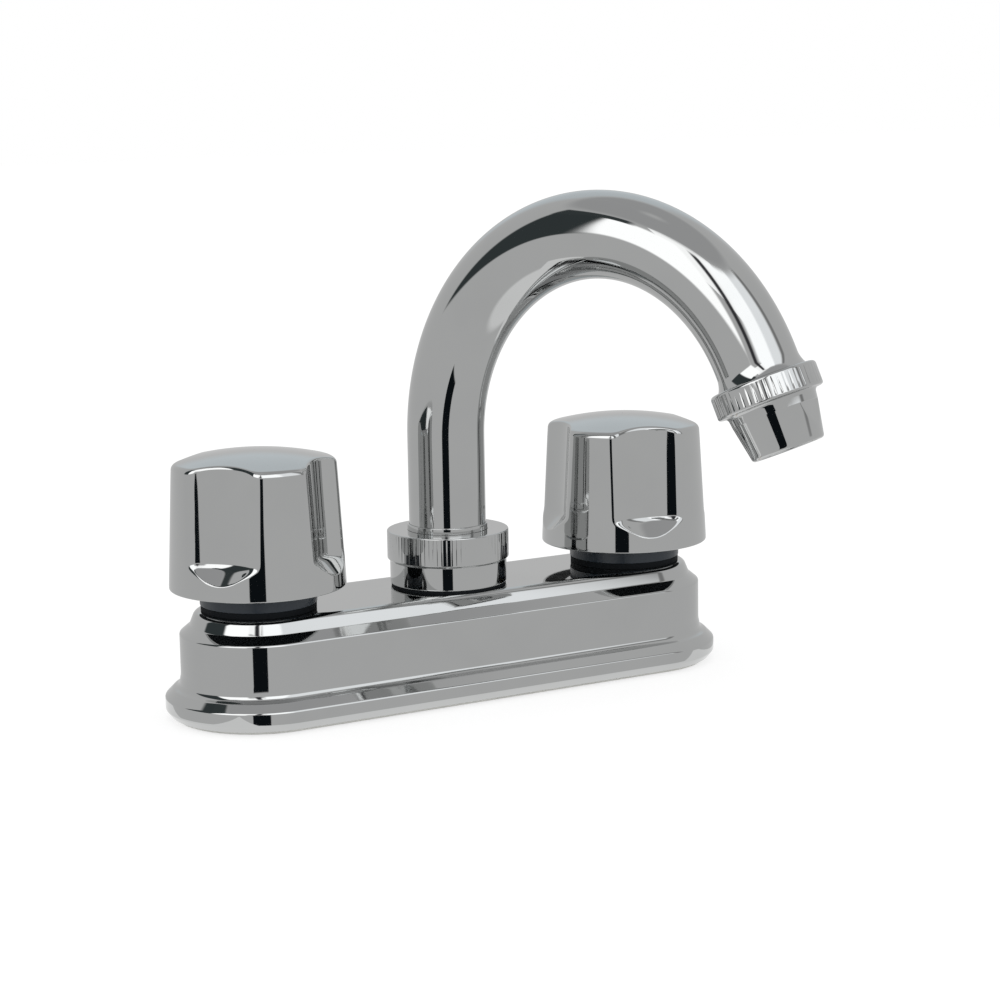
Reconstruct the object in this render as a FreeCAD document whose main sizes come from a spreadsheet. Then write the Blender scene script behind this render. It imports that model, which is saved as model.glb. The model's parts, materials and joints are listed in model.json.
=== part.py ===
"""Basin mixer tap: two-handle centreset with a bent swivel spout.

Millimetres. +Z is up and z = 0 is the deck that the tap stands on. X runs along the base, hot side at -X,
and the front of the tap looks along -Y. The origin is the centre of the gasket's underside, below the spout.
"""
import FreeCAD
import Part
import math
import os
import re

import Sketcher

# Driving dimensions, in millimetres and degrees.
SIZES = {
    # Base
    "hole_spacing": 101.6,
    "gasket_thickness": 0.8,
    "gasket_inset": 2.6,
    "flange_half_width": 22.5,
    "flange_bevel": 1.2,
    "flange_edge_low": 2.4,
    "flange_edge_high": 5.3,
    "flange_slope": 1.9,
    "band_margin": 6.7,
    "band_low": 9.6,
    "band_high": 20.1,
    "ledge_run": 2.4,
    "ledge_rise": 2.0,
    "shoulder_angle": 22.0,
    "plateau_level": 25.3,
    "plateau_round": 1.8,
    "cover_wall": 2.2,
    "cove_roundness": 1.3,
    "thread_play": 0.1,
    "cover_play": 0.3,
    "gasket_play": 0.5,
    "cut_over": 1.0,
    "edge_break": 0.5,
    # Brass waterway
    "chamber_radius": 12.0,
    "chamber_foot": 4.6,
    "chamber_floor": 9.0,
    "neck_radius": 10.95,
    "neck_rise": 3.7,
    "cartridge_radius": 9.2,
    "inlet_radius": 6.0,
    "passage_radius": 4.0,
    "passage_wall": 2.2,
    "passage_level": 15.5,
    "tail_radius": 10.45,
    "tail_depth": 48.0,
    "tail_end_thread": 14.0,
    "tail_relief_width": 1.2,
    "tail_relief_depth": 0.7,
    "tail_chamfer": 0.8,
    "hub_wall": 2.8,
    "hub_shoulder": 1.1,
    "hub_top": 33.0,
    "hub_floor": 10.0,
    # Under-deck fixings
    "deck_thickness": 20.0,
    "tail_washer_radius": 17.0,
    "tail_washer_thickness": 2.0,
    "lock_nut_flats": 30.0,
    "lock_nut_height": 7.0,
    "lock_nut_chamfer": 1.4,
    # Collars under the knobs
    "collar_radius": 13.7,
    "collar_height": 4.9,
    "collar_lip": 1.1,
    # Ceramic cartridges
    "running_gap": 0.1,
    "disc_radius": 7.4,
    "disc_thickness": 2.6,
    "disc_port_radius": 1.9,
    "disc_port_offset": 3.9,
    "seat_seal_thickness": 1.8,
    "seat_seal_hole": 5.4,
    "drive_plate_radius": 6.8,
    "drive_plate_thickness": 2.4,
    "bonnet_level": 25.0,
    "window_height": 3.6,
    "window_width": 5.0,
    "housing_neck_radius": 6.2,
    "housing_top": 33.4,
    "bonnet_nut_flats": 18.8,
    "bonnet_nut_height": 3.0,
    "bonnet_nut_chamfer": 0.5,
    "spindle_radius": 4.05,
    "spindle_top": 52.0,
    "spindle_flat": 3.0,
    "spindle_seal_level": 22.5,
    "spindle_seal_wire": 0.6,
    "seal_groove_play": 0.2,
    # Knobs
    "knob_bottom": 30.7,
    "knob_radius": 20.65,
    "knob_top_radius": 19.3,
    "knob_rim_level": 60.5,
    "knob_top_level": 62.7,
    "knob_rim_round": 1.7,
    "knob_foot_round": 0.9,
    "scoop_radius": 17.5,
    "scoop_lean": 1.0,
    "scoop_offset": 32.9,
    "scoop_floor_inner": 38.2,
    "scoop_floor_slope": 0.78,
    "knob_cavity_radius": 12.5,
    "knob_cavity_top": 59.3,
    "insert_hub_radius": 6.2,
    "insert_bottom": 34.5,
    "insert_flange_thickness": 2.4,
    "screw_head_radius": 3.6,
    "screw_head_height": 2.0,
    "screw_radius": 1.9,
    "screw_length": 13.0,
    "screw_tip_play": 1.0,
    "screw_slot_width": 0.9,
    "screw_slot_depth": 1.0,
    "screw_slot_length": 4.7,
    "hot_knob_turn": 51.1,
    "cold_knob_turn": 12.5,
    # Spout nut and bearing
    "nut_washer_thickness": 0.6,
    "nut_washer_width": 1.8,
    "nut_wall": 2.65,
    "nut_band_step": 0.6,
    "nut_top": 38.8,
    "nut_band_height": 6.8,
    "nut_lip_thickness": 2.0,
    "nut_edge_round": 0.35,
    "nut_eye_play": 0.3,
    "ring_width": 2.1,
    "ring_height": 2.2,
    "foot_step": 0.2,
    "foot_bottom": 20.5,
    "foot_wall": 2.9,
    "foot_seal_wire": 1.0,
    "foot_seal_high": 29.0,
    "foot_seal_low": 24.0,
    "ferrule_height": 1.3,
    "ferrule_width": 0.45,
    "ferrule_bevel": 0.2,
    "ferrule_play": 0.2,
    # Spout
    "tube_radius": 9.3,
    "crown_swell": 0.9,
    "end_swell": 0.2,
    "tube_wall": 1.5,
    "tube_bend_start": 61.5,
    "bend_reach": 43.8,
    "bend_rise": 49.4,
    "bend_end_angle": 154.5,
    "tube_tail": 4.4,
    "spout_rest_angle": 27.9,
    "flare_width": 1.1,
    "flare_length": 4.4,
    "flare_lip": 0.8,
    "spigot_step": 0.5,
    "spigot_length": 6.0,
    "spigot_wall": 1.5,
    # Aerator
    "aerator_ring_width": 1.8,
    "aerator_ring_start": 1.1,
    "aerator_ring_height": 5.7,
    "aerator_ring_round": 0.9,
    "aerator_ring_bevel": 0.3,
    "aerator_wall": 1.25,
    "aerator_cove": 1.5,
    "aerator_taper": 1.8,
    "aerator_length": 15.8,
    "aerator_edge_round": 0.8,
    "aerator_lip_width": 1.65,
    "aerator_mouth_depth": 1.7,
    "aerator_flat_cut": 1.35,
    "aerator_flat_start": 7.2,
    "insert_seat_width": 1.0,
    "insert_hole_radius": 1.7,
    "insert_hole_circle": 4.7,
    "insert_hole_turn": 15.0,
    "aerator_washer_thickness": 1.5,
    "screen_thickness": 0.5,
    "screen_hole": 0.75,
    "screen_pitch": 2.1,
}

# Sizes that follow from the driving ones.
DERIVED = {
    "side": "(hole_spacing / 2)",
    "cover_foot": "gasket_thickness",
    "band_half_width": "(hub_radius + band_margin)",
    "ledge_half_width": "(band_half_width - ledge_run)",
    "ledge_level": "(band_high + ledge_rise)",
    "shoulder_top": "(plateau_level - plateau_round * (1 - sin(shoulder_angle)))",
    "shoulder_lean": "((shoulder_top - ledge_level) * tan(shoulder_angle))",
    "plateau_half_width": "(ledge_half_width - shoulder_lean)",
    "flat_half_width": "(plateau_half_width - plateau_round * cos(shoulder_angle))",
    "ceiling": "(plateau_level - cover_wall)",
    "cavity_half_width": "(band_half_width - cover_wall)",
    "cavity_top_half_width": "(plateau_half_width - cover_wall)",
    "neck_top": "(plateau_level + neck_rise)",
    "neck_bore": "(cartridge_radius + thread_play)",
    "foot_radius": "(tube_radius - foot_step)",
    "foot_bore": "(foot_radius - foot_wall)",
    "hub_bore": "(foot_radius + running_gap)",
    "hub_radius": "(hub_bore + hub_wall)",
    "collar_top": "(plateau_level + collar_height)",
    "seal_top": "(chamber_floor + seat_seal_thickness)",
    "fixed_top": "(seal_top + disc_thickness)",
    "moving_bottom": "(fixed_top + running_gap)",
    "moving_top": "(moving_bottom + disc_thickness)",
    "drive_top": "(moving_top + drive_plate_thickness)",
    "chamber_roof": "(drive_top + running_gap)",
    "disc_chamber_radius": "(disc_radius + 2 * running_gap)",
    "spindle_bore": "(spindle_radius + running_gap)",
    "insert_top": "(knob_cavity_top - running_gap)",
    "insert_flange_low": "(insert_top - insert_flange_thickness)",
    "screw_seat": "(insert_top - screw_head_height - running_gap)",
    "screw_tip": "(screw_seat - screw_length)",
    "nut_foot": "(plateau_level + nut_washer_thickness)",
    "nut_band_low": "(nut_top - nut_band_height)",
    "nut_bore": "(hub_radius + thread_play)",
    "nut_washer_radius": "(nut_bore + nut_washer_width)",
    "nut_radius": "(nut_bore + nut_wall)",
    "nut_lower_radius": "(nut_radius - nut_band_step)",
    "nut_lip_low": "(nut_top - nut_lip_thickness)",
    "nut_eye": "(tube_radius + nut_eye_play)",
    "ring_radius": "(tube_radius + ring_width)",
    "ring_low": "(hub_top + running_gap)",
    "ring_high": "(ring_low + ring_height)",
    "ferrule_low": "(nut_top + ferrule_play)",
    "tube_crown_radius": "(tube_radius + crown_swell)",
    "tube_end_radius": "(tube_radius + end_swell)",
    "flare_radius": "(tube_end_radius + flare_width)",
    "spigot_radius": "(tube_end_radius - spigot_step)",
    "spigot_bore": "(spigot_radius - spigot_wall)",
    "washer_high": "(-deck_thickness)",
    "washer_low": "(-deck_thickness - tail_washer_thickness)",
    "lock_nut_low": "(washer_low - lock_nut_height)",
    "tail_bore_clear": "(tail_radius + thread_play)",
    "aerator_thread": "(spigot_radius + thread_play)",
    "aerator_ring_radius": "(flare_radius + aerator_ring_width)",
    "aerator_shoulder_radius": "(aerator_thread + aerator_wall)",
    "aerator_flats": "(2 * (aerator_shoulder_radius - aerator_flat_cut))",
    "aerator_outlet_radius": "(aerator_shoulder_radius - aerator_taper)",
    "aerator_mouth_radius": "(aerator_outlet_radius - aerator_lip_width)",
    "insert_radius": "(aerator_mouth_radius + insert_seat_width)",
    "aerator_washer_low": "(spigot_length + thread_play)",
    "aerator_insert_low": "(aerator_washer_low + aerator_washer_thickness)",
    "aerator_lip": "(aerator_length - aerator_mouth_depth)",
    "screen_low": "(aerator_lip - screen_thickness)",
}

WORD = re.compile(r"[a-z][a-z_]*")

doc = FreeCAD.newDocument("basin_mixer_tap")
sheet = doc.addObject("Spreadsheet::Sheet", "Sizes")
nodes = []


def fill_sheet():
    """Write each driving dimension as a plain number with its alias."""
    for row, (alias, size) in enumerate(SIZES.items(), start=1):
        sheet.set(f"A{row}", alias)
        sheet.set(f"B{row}", str(size))
        sheet.setAlias(f"B{row}", alias)
    doc.recompute()


def formula(text):
    """Expand the names in a formula until only cells of the sheet are left."""
    def expand(match):
        word = match.group(0)
        if word in DERIVED:
            return formula(DERIVED[word])
        if word in SIZES:
            return f"Sizes.{word}"
        return word
    return WORD.sub(expand, str(text))


def value(text):
    """The number that a formula gives with the sheet's present sizes."""
    return float(sheet.evalExpression(formula(text)))


def bind(item, prop, text):
    """Tie a property of a document object to a formula."""
    item.setExpression(prop, formula(text))


def place(item, x="0", y="0", z="0"):
    """Tie the place of an object to formulas."""
    for axis, text in (("x", x), ("y", y), ("z", z)):
        bind(item, f"Placement.Base.{axis}", text)


def keep(item, label):
    """Name an object as one of the tap's separate pieces."""
    item.Label = label
    nodes.append(item)
    return item


def new_body(name):
    return doc.addObject("PartDesign::Body", name)


def new_sketch(body, name, plane="XZ_Plane"):
    """A sketch on one of the body's own origin planes."""
    sketch = body.newObject("Sketcher::SketchObject", name)
    support = next(f for f in body.Origin.OriginFeatures if f.Role == plane)
    sketch.AttachmentSupport = [(support, "")]
    sketch.MapMode = "FlatFace"
    return sketch


def fix_point(sketch, geometry, end, x, y):
    """Tie one end of a segment to formulas for its two coordinates."""
    for kind, axis, text in (("DistanceX", -2, x), ("DistanceY", -1, y)):
        if text == "0":
            sketch.addConstraint(Sketcher.Constraint("PointOnObject", geometry, end, axis))
            continue
        index = sketch.addConstraint(Sketcher.Constraint(kind, geometry, end, value(text)))
        sketch.setExpression(f"Constraints[{index}]", formula(text))


def arc_between(start, end, radius):
    """Arc from start to end; a positive radius turns left, a negative one turns right."""
    chord = end - start
    half = chord.Length / 2
    middle = (start + end) / 2
    across = FreeCAD.Vector(-chord.y, chord.x, 0).normalize()
    height = math.sqrt(max(radius * radius - half * half, 0))
    centre = middle + across * (height if radius > 0 else -height)
    circle = Part.Circle(centre, FreeCAD.Vector(0, 0, 1), abs(radius))
    first, last = (start, end) if radius > 0 else (end, start)
    angles = [math.atan2(p.y - centre.y, p.x - centre.x) for p in (first, last)]
    return Part.ArcOfCircle(circle, angles[0], angles[1])


def contour(sketch, points):
    """Draw a closed outline of lines and arcs whose corners follow formulas.

    A point is (x, y), or (x, y, radius) where an arc leads to it; the radius is left of travel if positive.
    """
    corners = [FreeCAD.Vector(value(p[0]), value(p[1]), 0) for p in points]
    ends = []
    for index in range(len(points)):
        following = (index + 1) % len(points)
        start, end = corners[index], corners[following]
        if len(points[following]) == 3:
            radius_text = points[following][2]
            radius = value(radius_text)
            number = sketch.addGeometry(arc_between(start, end, radius))
            limit = sketch.addConstraint(Sketcher.Constraint("Radius", number, abs(radius)))
            sketch.setExpression(f"Constraints[{limit}]", f"abs({formula(radius_text)})")
            ends.append((number, 1, 2) if radius > 0 else (number, 2, 1))
        else:
            ends.append((sketch.addGeometry(Part.LineSegment(start, end)), 1, 2))
    for index, (number, first, last) in enumerate(ends):
        after, after_first, _ = ends[(index + 1) % len(ends)]
        sketch.addConstraint(Sketcher.Constraint("Coincident", number, last, after, after_first))
        fix_point(sketch, number, first, points[index][0], points[index][1])


def ring_in(sketch, x, y, radius):
    """Draw a full circle whose centre and radius follow formulas."""
    centre = FreeCAD.Vector(value(x), value(y), 0)
    number = sketch.addGeometry(Part.Circle(centre, FreeCAD.Vector(0, 0, 1), value(radius)))
    limit = sketch.addConstraint(Sketcher.Constraint("Radius", number, value(radius)))
    sketch.setExpression(f"Constraints[{limit}]", formula(radius))
    fix_point(sketch, number, 3, x, y)


def revolve(body, sketch, name, groove=False, axis="V_Axis"):
    """Turn a section once round an axis of its sketch, as metal added or cut away."""
    kind = "PartDesign::Groove" if groove else "PartDesign::Revolution"
    feature = body.newObject(kind, name)
    feature.Profile = sketch
    feature.ReferenceAxis = (sketch, [axis])
    feature.Angle = 360
    return feature


def turned(name, points):
    """A turned piece: its half section in the XZ plane goes once round Z."""
    body = new_body(name)
    sketch = new_sketch(body, name + "_section")
    contour(sketch, points)
    revolve(body, sketch, name + "_turn")
    return body


def slot_through(body, name, plane, low, high, half_width):
    """Cut a window with level edges right through a body, both ways from an origin plane."""
    sketch = new_sketch(body, name + "_outline", plane)
    far_side = f"-({half_width})"
    contour(sketch, [(far_side, low), (half_width, low), (half_width, high), (far_side, high)])
    pocket = body.newObject("PartDesign::Pocket", name)
    pocket.Profile = sketch
    pocket.Type = "ThroughAll"
    pocket.Midplane = True
    return pocket


def post(name, radius, low, high, x="0"):
    """An upright cylinder between two levels."""
    cylinder = doc.addObject("Part::Cylinder", name)
    bind(cylinder, "Radius", radius)
    bind(cylinder, "Height", f"({high}) - ({low})")
    place(cylinder, x, "0", low)
    return cylinder


def joined(name, pieces):
    union = doc.addObject("Part::MultiFuse", name)
    union.Shapes = pieces
    return union


def cut(name, base, tool):
    result = doc.addObject("Part::Cut", name)
    result.Base = base
    result.Tool = tool
    return result


def stadium(body, name, half_width):
    """A sketch on the XY plane with straight sides and round ends about the two tail axes."""
    sketch = new_sketch(body, name, "XY_Plane")
    contour(sketch, [
        ("-side", f"-({half_width})", half_width),
        ("side", f"-({half_width})"),
        (f"side + {half_width}", "0", half_width),
        ("side", half_width, half_width),
        ("-side", half_width),
        (f"-side - ({half_width})", "0", half_width),
    ])
    return sketch


def cover_outline():
    """Half of the cover's outer section, from the foot up to the plateau's middle."""
    return [
        ("flange_half_width - flange_bevel", "cover_foot"),
        ("flange_half_width", "flange_edge_low"),
        ("flange_half_width", "flange_edge_high"),
        ("flange_half_width - flange_slope", "flange_edge_high + flange_slope"),
        ("band_half_width", "band_low", "-cove_roundness * (band_low - flange_edge_high - flange_slope)"),
        ("band_half_width", "band_high"),
        ("ledge_half_width", "ledge_level"),
        ("plateau_half_width", "shoulder_top"),
        ("flat_half_width", "plateau_level", "plateau_round"),
    ]


def cavity_outline():
    """Half of the hollow inside the cover, one wall in from the outside."""
    return [
        ("flange_half_width - flange_bevel - cover_wall", "cover_foot"),
        ("flange_half_width - flange_bevel - cover_wall", "flange_edge_high - cover_wall / 2"),
        ("cavity_half_width", "band_low - cover_wall / 2"),
        ("cavity_half_width", "band_high - cover_wall / 2"),
        ("cavity_top_half_width", "ceiling - cover_wall / 2"),
        ("cavity_top_half_width", "ceiling"),
    ]


def mirrored(outline):
    """A whole section from its right half: up the right side, then down the left one."""
    left = []
    arc_to_next = None
    for corner in reversed(outline):
        point = (f"-({corner[0]})", corner[1])
        left.append(point + (arc_to_next,) if arc_to_next else point)
        arc_to_next = corner[2] if len(corner) == 3 else None
    return outline + left


def add_bar_and_ends(body, name, outline, hollow):
    """Run a section along the base and turn its half round both ends, as metal or as a hollow."""
    section = new_sketch(body, name + "_section", "YZ_Plane")
    contour(section, mirrored(outline))
    bar = body.newObject("PartDesign::Pocket" if hollow else "PartDesign::Pad", name + "_bar")
    bar.Profile = section
    bar.Midplane = True
    bind(bar, "Length", "hole_spacing")
    top = outline[-1][1]
    foot = outline[0][1]
    half = [("0", foot)] + outline + [("0", top)]
    for word, sign in (("hot", "-"), ("cold", "")):
        end_section = new_sketch(body, f"{name}_{word}_end_section")
        shifted = [(f"{sign}side + ({p[0]})",) + tuple(p[1:]) for p in half]
        contour(end_section, shifted)
        axis_line = Part.LineSegment(
            FreeCAD.Vector(value(f"{sign}side"), 0, 0), FreeCAD.Vector(value(f"{sign}side"), 1, 0))
        number = end_section.addGeometry(axis_line, True)
        fix_point(end_section, number, 1, f"{sign}side", "0")
        fix_point(end_section, number, 2, f"{sign}side", "gasket_thickness")
        revolve(body, end_section, f"{name}_{word}_end", groove=hollow, axis="Axis0")


def make_base_cover():
    body = new_body("base_cover_body")
    add_bar_and_ends(body, "cover", cover_outline(), hollow=False)
    add_bar_and_ends(body, "cavity", cavity_outline(), hollow=True)
    holes = new_sketch(body, "cover_holes", "XY_Plane")
    ring_in(holes, "-side", "0", "neck_radius + cover_play")
    ring_in(holes, "side", "0", "neck_radius + cover_play")
    ring_in(holes, "0", "0", "hub_radius + cover_play")
    pocket = body.newObject("PartDesign::Pocket", "cover_hole_cut")
    pocket.Profile = holes
    pocket.Type = "ThroughAll"
    pocket.Midplane = True
    keep(body, "base_cover")


def make_base_gasket():
    body = new_body("base_gasket_body")
    sketch = stadium(body, "gasket_outline", "flange_half_width - gasket_inset")
    ring_in(sketch, "-side", "0", "tail_radius + gasket_play")
    ring_in(sketch, "side", "0", "tail_radius + gasket_play")
    pad = body.newObject("PartDesign::Pad", "gasket_pad")
    pad.Profile = sketch
    bind(pad, "Length", "gasket_thickness")
    keep(body, "base_gasket")


def passage(name, radius):
    """A level cylinder along X from one chamber to the other."""
    cylinder = doc.addObject("Part::Cylinder", name)
    bind(cylinder, "Radius", radius)
    bind(cylinder, "Height", "hole_spacing")
    place(cylinder, "-side", "0", "passage_level")
    cylinder.Placement.Rotation = FreeCAD.Rotation(FreeCAD.Vector(0, 1, 0), 90)
    return cylinder


def make_waterway():
    """Two valve chambers with necks and tails, the cross passage and the spout's hub, in one casting."""
    metal = [
        post("hub_lower", "hub_radius + hub_shoulder", "hub_floor - passage_wall", "ceiling"),
        post("hub_upper", "hub_radius", "ceiling - cut_over", "hub_top"),
        passage("passage_tube", "passage_radius + passage_wall"),
    ]
    hollow = [
        post("hub_hole", "hub_bore", "hub_floor", "hub_top + cut_over"),
        passage("passage_hole", "passage_radius"),
    ]
    for word, x in (("hot", "-side"), ("cold", "side")):
        tail = turned(f"{word}_tail", [
            ("0", "-tail_depth"),
            ("tail_radius - tail_chamfer", "-tail_depth"),
            ("tail_radius", "tail_chamfer - tail_depth"),
            ("tail_radius", "tail_end_thread - tail_depth"),
            ("tail_radius - tail_relief_depth", "tail_end_thread - tail_depth"),
            ("tail_radius - tail_relief_depth", "tail_end_thread + tail_relief_width - tail_depth"),
            ("tail_radius", "tail_end_thread + tail_relief_width - tail_depth"),
            ("tail_radius", "chamber_foot"),
            ("chamber_radius", "chamber_foot"),
            ("chamber_radius", "ceiling"),
            ("neck_radius", "ceiling"),
            ("neck_radius", "neck_top"),
            ("0", "neck_top"),
        ])
        place(tail, x)
        metal.append(tail)
        hollow.append(post(f"{word}_inlet_hole", "inlet_radius", "-tail_depth - cut_over",
                           "chamber_floor + cut_over", x))
        hollow.append(post(f"{word}_chamber_hole", "neck_bore", "chamber_floor", "neck_top + cut_over", x))
    casting = joined("waterway_metal", metal)
    ways = joined("waterway_hollow", hollow)
    keep(cut("waterway_cut", casting, ways), "waterway_body")


def hexagon(corner_radius):
    """The six corners of a hexagon about the origin."""
    angles = [60 * k + 30 for k in range(6)]
    return [(f"{corner_radius} * cos({angle})", f"{corner_radius} * sin({angle})") for angle in angles]


def make_nut(name, label, x, flats, low, height, bore):
    """A plain hexagon nut with chamfered corners."""
    body = new_body(name)
    sketch = new_sketch(body, name + "_outline", "XY_Plane")
    across = f"({flats}) / 2 / cos(30)"
    contour(sketch, hexagon(across))
    ring_in(sketch, "0", "0", bore)
    pad = body.newObject("PartDesign::Pad", name + "_pad")
    pad.Profile = sketch
    bind(pad, "Length", height)
    corner_cut = new_sketch(body, name + "_chamfer_section")
    slope = f"lock_nut_chamfer / ({across} - ({flats}) / 2)"
    contour(corner_cut, [
        (f"{across} + cut_over", f"-cut_over * {slope}"),
        (f"{across} + cut_over", f"lock_nut_chamfer + cut_over * {slope}"),
        (f"({flats}) / 2 - cut_over", f"-cut_over * {slope}"),
    ])
    revolve(body, corner_cut, name + "_chamfer", groove=True)
    place(body, x, "0", low)
    keep(body, label)


def make_under_deck(word, x):
    washer = turned(f"{word}_tail_washer_body", [
        ("tail_bore_clear", "washer_low"),
        ("tail_washer_radius", "washer_low"),
        ("tail_washer_radius", "washer_high"),
        ("tail_bore_clear", "washer_high"),
    ])
    place(washer, x)
    keep(washer, f"{word}_tail_washer")
    make_nut(f"{word}_lock_nut_body", f"{word}_lock_nut", x, "lock_nut_flats", "lock_nut_low",
             "lock_nut_height", "tail_bore_clear")


def make_collar(word, x):
    body = turned(f"{word}_collar_body", [
        ("neck_radius + thread_play", "plateau_level"),
        ("collar_radius", "plateau_level"),
        ("collar_radius", "collar_top - collar_lip / 2"),
        ("collar_radius - collar_lip / 2", "collar_top"),
        ("neck_radius + thread_play", "collar_top"),
    ])
    place(body, x)
    keep(body, f"{word}_collar")


def make_disc(word, x, kind, low, radius):
    """A ceramic disc with two round ports opposite each other; the upper one's ports lie across when shut."""
    body = new_body(f"{word}_{kind}_disc_body")
    sketch = new_sketch(body, f"{word}_{kind}_disc_outline", "XY_Plane")
    ring_in(sketch, "0", "0", radius)
    for sign in ("", "-"):
        if kind == "fixed":
            ring_in(sketch, f"{sign}disc_port_offset", "0", "disc_port_radius")
        else:
            ring_in(sketch, "0", f"{sign}disc_port_offset", "disc_port_radius")
    pad = body.newObject("PartDesign::Pad", f"{word}_{kind}_disc_pad")
    pad.Profile = sketch
    bind(pad, "Length", "disc_thickness")
    place(body, x, "0", low)
    keep(body, f"{word}_{kind}_disc")


def make_cartridge(word, x):
    seal = turned(f"{word}_seat_seal_body", [
        ("seat_seal_hole", "chamber_floor"),
        ("disc_radius", "chamber_floor"),
        ("disc_radius", "seal_top"),
        ("seat_seal_hole", "seal_top"),
    ])
    place(seal, x)
    keep(seal, f"{word}_seat_seal")
    make_disc(word, x, "fixed", "seal_top", "disc_radius")
    make_disc(word, x, "moving", "moving_bottom", "disc_radius")

    housing = turned(f"{word}_cartridge_housing_body", [
        ("disc_chamber_radius", "chamber_floor"),
        ("cartridge_radius", "chamber_floor"),
        ("cartridge_radius", "bonnet_level"),
        ("housing_neck_radius", "bonnet_level"),
        ("housing_neck_radius", "housing_top"),
        ("spindle_bore", "housing_top"),
        ("spindle_bore", "chamber_roof"),
        ("disc_chamber_radius", "chamber_roof"),
    ])
    slot_through(housing, f"{word}_window_across", "YZ_Plane",
                 "passage_level - window_height / 2", "passage_level + window_height / 2", "window_width / 2")
    slot_through(housing, f"{word}_window_along", "XZ_Plane",
                 "passage_level - window_height / 2", "passage_level + window_height / 2", "window_width / 2")
    place(housing, x)
    keep(housing, f"{word}_cartridge_housing")

    corner_radius = "bonnet_nut_flats / 2 / cos(30)"
    nut = turned(f"{word}_bonnet_nut_blank", [
        ("housing_neck_radius + thread_play", "bonnet_level"),
        ("cartridge_radius", "bonnet_level"),
        ("cartridge_radius", "neck_top"),
        ("bonnet_nut_flats / 2", "neck_top"),
        (corner_radius, "neck_top + bonnet_nut_chamfer"),
        (corner_radius, "neck_top + bonnet_nut_height - bonnet_nut_chamfer"),
        ("bonnet_nut_flats / 2", "neck_top + bonnet_nut_height"),
        ("housing_neck_radius + thread_play", "neck_top + bonnet_nut_height"),
    ])
    flats = new_sketch(nut, f"{word}_bonnet_nut_flats", "XY_Plane")
    contour(flats, hexagon(corner_radius))
    ring_in(flats, "0", "0", "2 * bonnet_nut_flats")
    trim = nut.newObject("PartDesign::Pocket", f"{word}_bonnet_nut_trim")
    trim.Profile = flats
    trim.Type = "ThroughAll"
    trim.Midplane = True
    place(nut, x)
    keep(nut, f"{word}_bonnet_nut")

    groove_radius = "spindle_radius - 2 * spindle_seal_wire"
    groove_half = "(spindle_seal_wire + seal_groove_play)"
    spindle = turned(f"{word}_spindle_body", [
        ("0", "moving_top"),
        ("drive_plate_radius", "moving_top"),
        ("drive_plate_radius", "drive_top"),
        ("spindle_radius", "drive_top"),
        ("spindle_radius", f"spindle_seal_level - {groove_half}"),
        (groove_radius, f"spindle_seal_level - {groove_half}"),
        (groove_radius, f"spindle_seal_level + {groove_half}"),
        ("spindle_radius", f"spindle_seal_level + {groove_half}"),
        ("spindle_radius", "spindle_top - edge_break"),
        ("spindle_radius - edge_break", "spindle_top"),
        ("screw_radius + running_gap", "spindle_top"),
        ("screw_radius + running_gap", "screw_tip - screw_tip_play"),
        ("0", "screw_tip - screw_tip_play"),
    ])
    for sign in ("", "-"):
        flat = new_sketch(spindle, f"{word}_spindle_flat{'_b' if sign else '_a'}", "XZ_Plane")
        contour(flat, [
            (f"{sign}spindle_flat", "insert_bottom"),
            (f"{sign}2 * spindle_radius", "insert_bottom"),
            (f"{sign}2 * spindle_radius", "spindle_top + cut_over"),
            (f"{sign}spindle_flat", "spindle_top + cut_over"),
        ])
        pocket = spindle.newObject("PartDesign::Pocket", f"{word}_spindle_flat_cut{'_b' if sign else '_a'}")
        pocket.Profile = flat
        pocket.Type = "ThroughAll"
        pocket.Midplane = True
    place(spindle, x)
    keep(spindle, f"{word}_spindle")

    ring = new_body(f"{word}_spindle_seal_body")
    sketch = new_sketch(ring, f"{word}_spindle_seal_section")
    ring_in(sketch, "spindle_radius - spindle_seal_wire", "spindle_seal_level", "spindle_seal_wire")
    revolve(ring, sketch, f"{word}_spindle_seal_turn")
    place(ring, x)
    keep(ring, f"{word}_spindle_seal")


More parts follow.
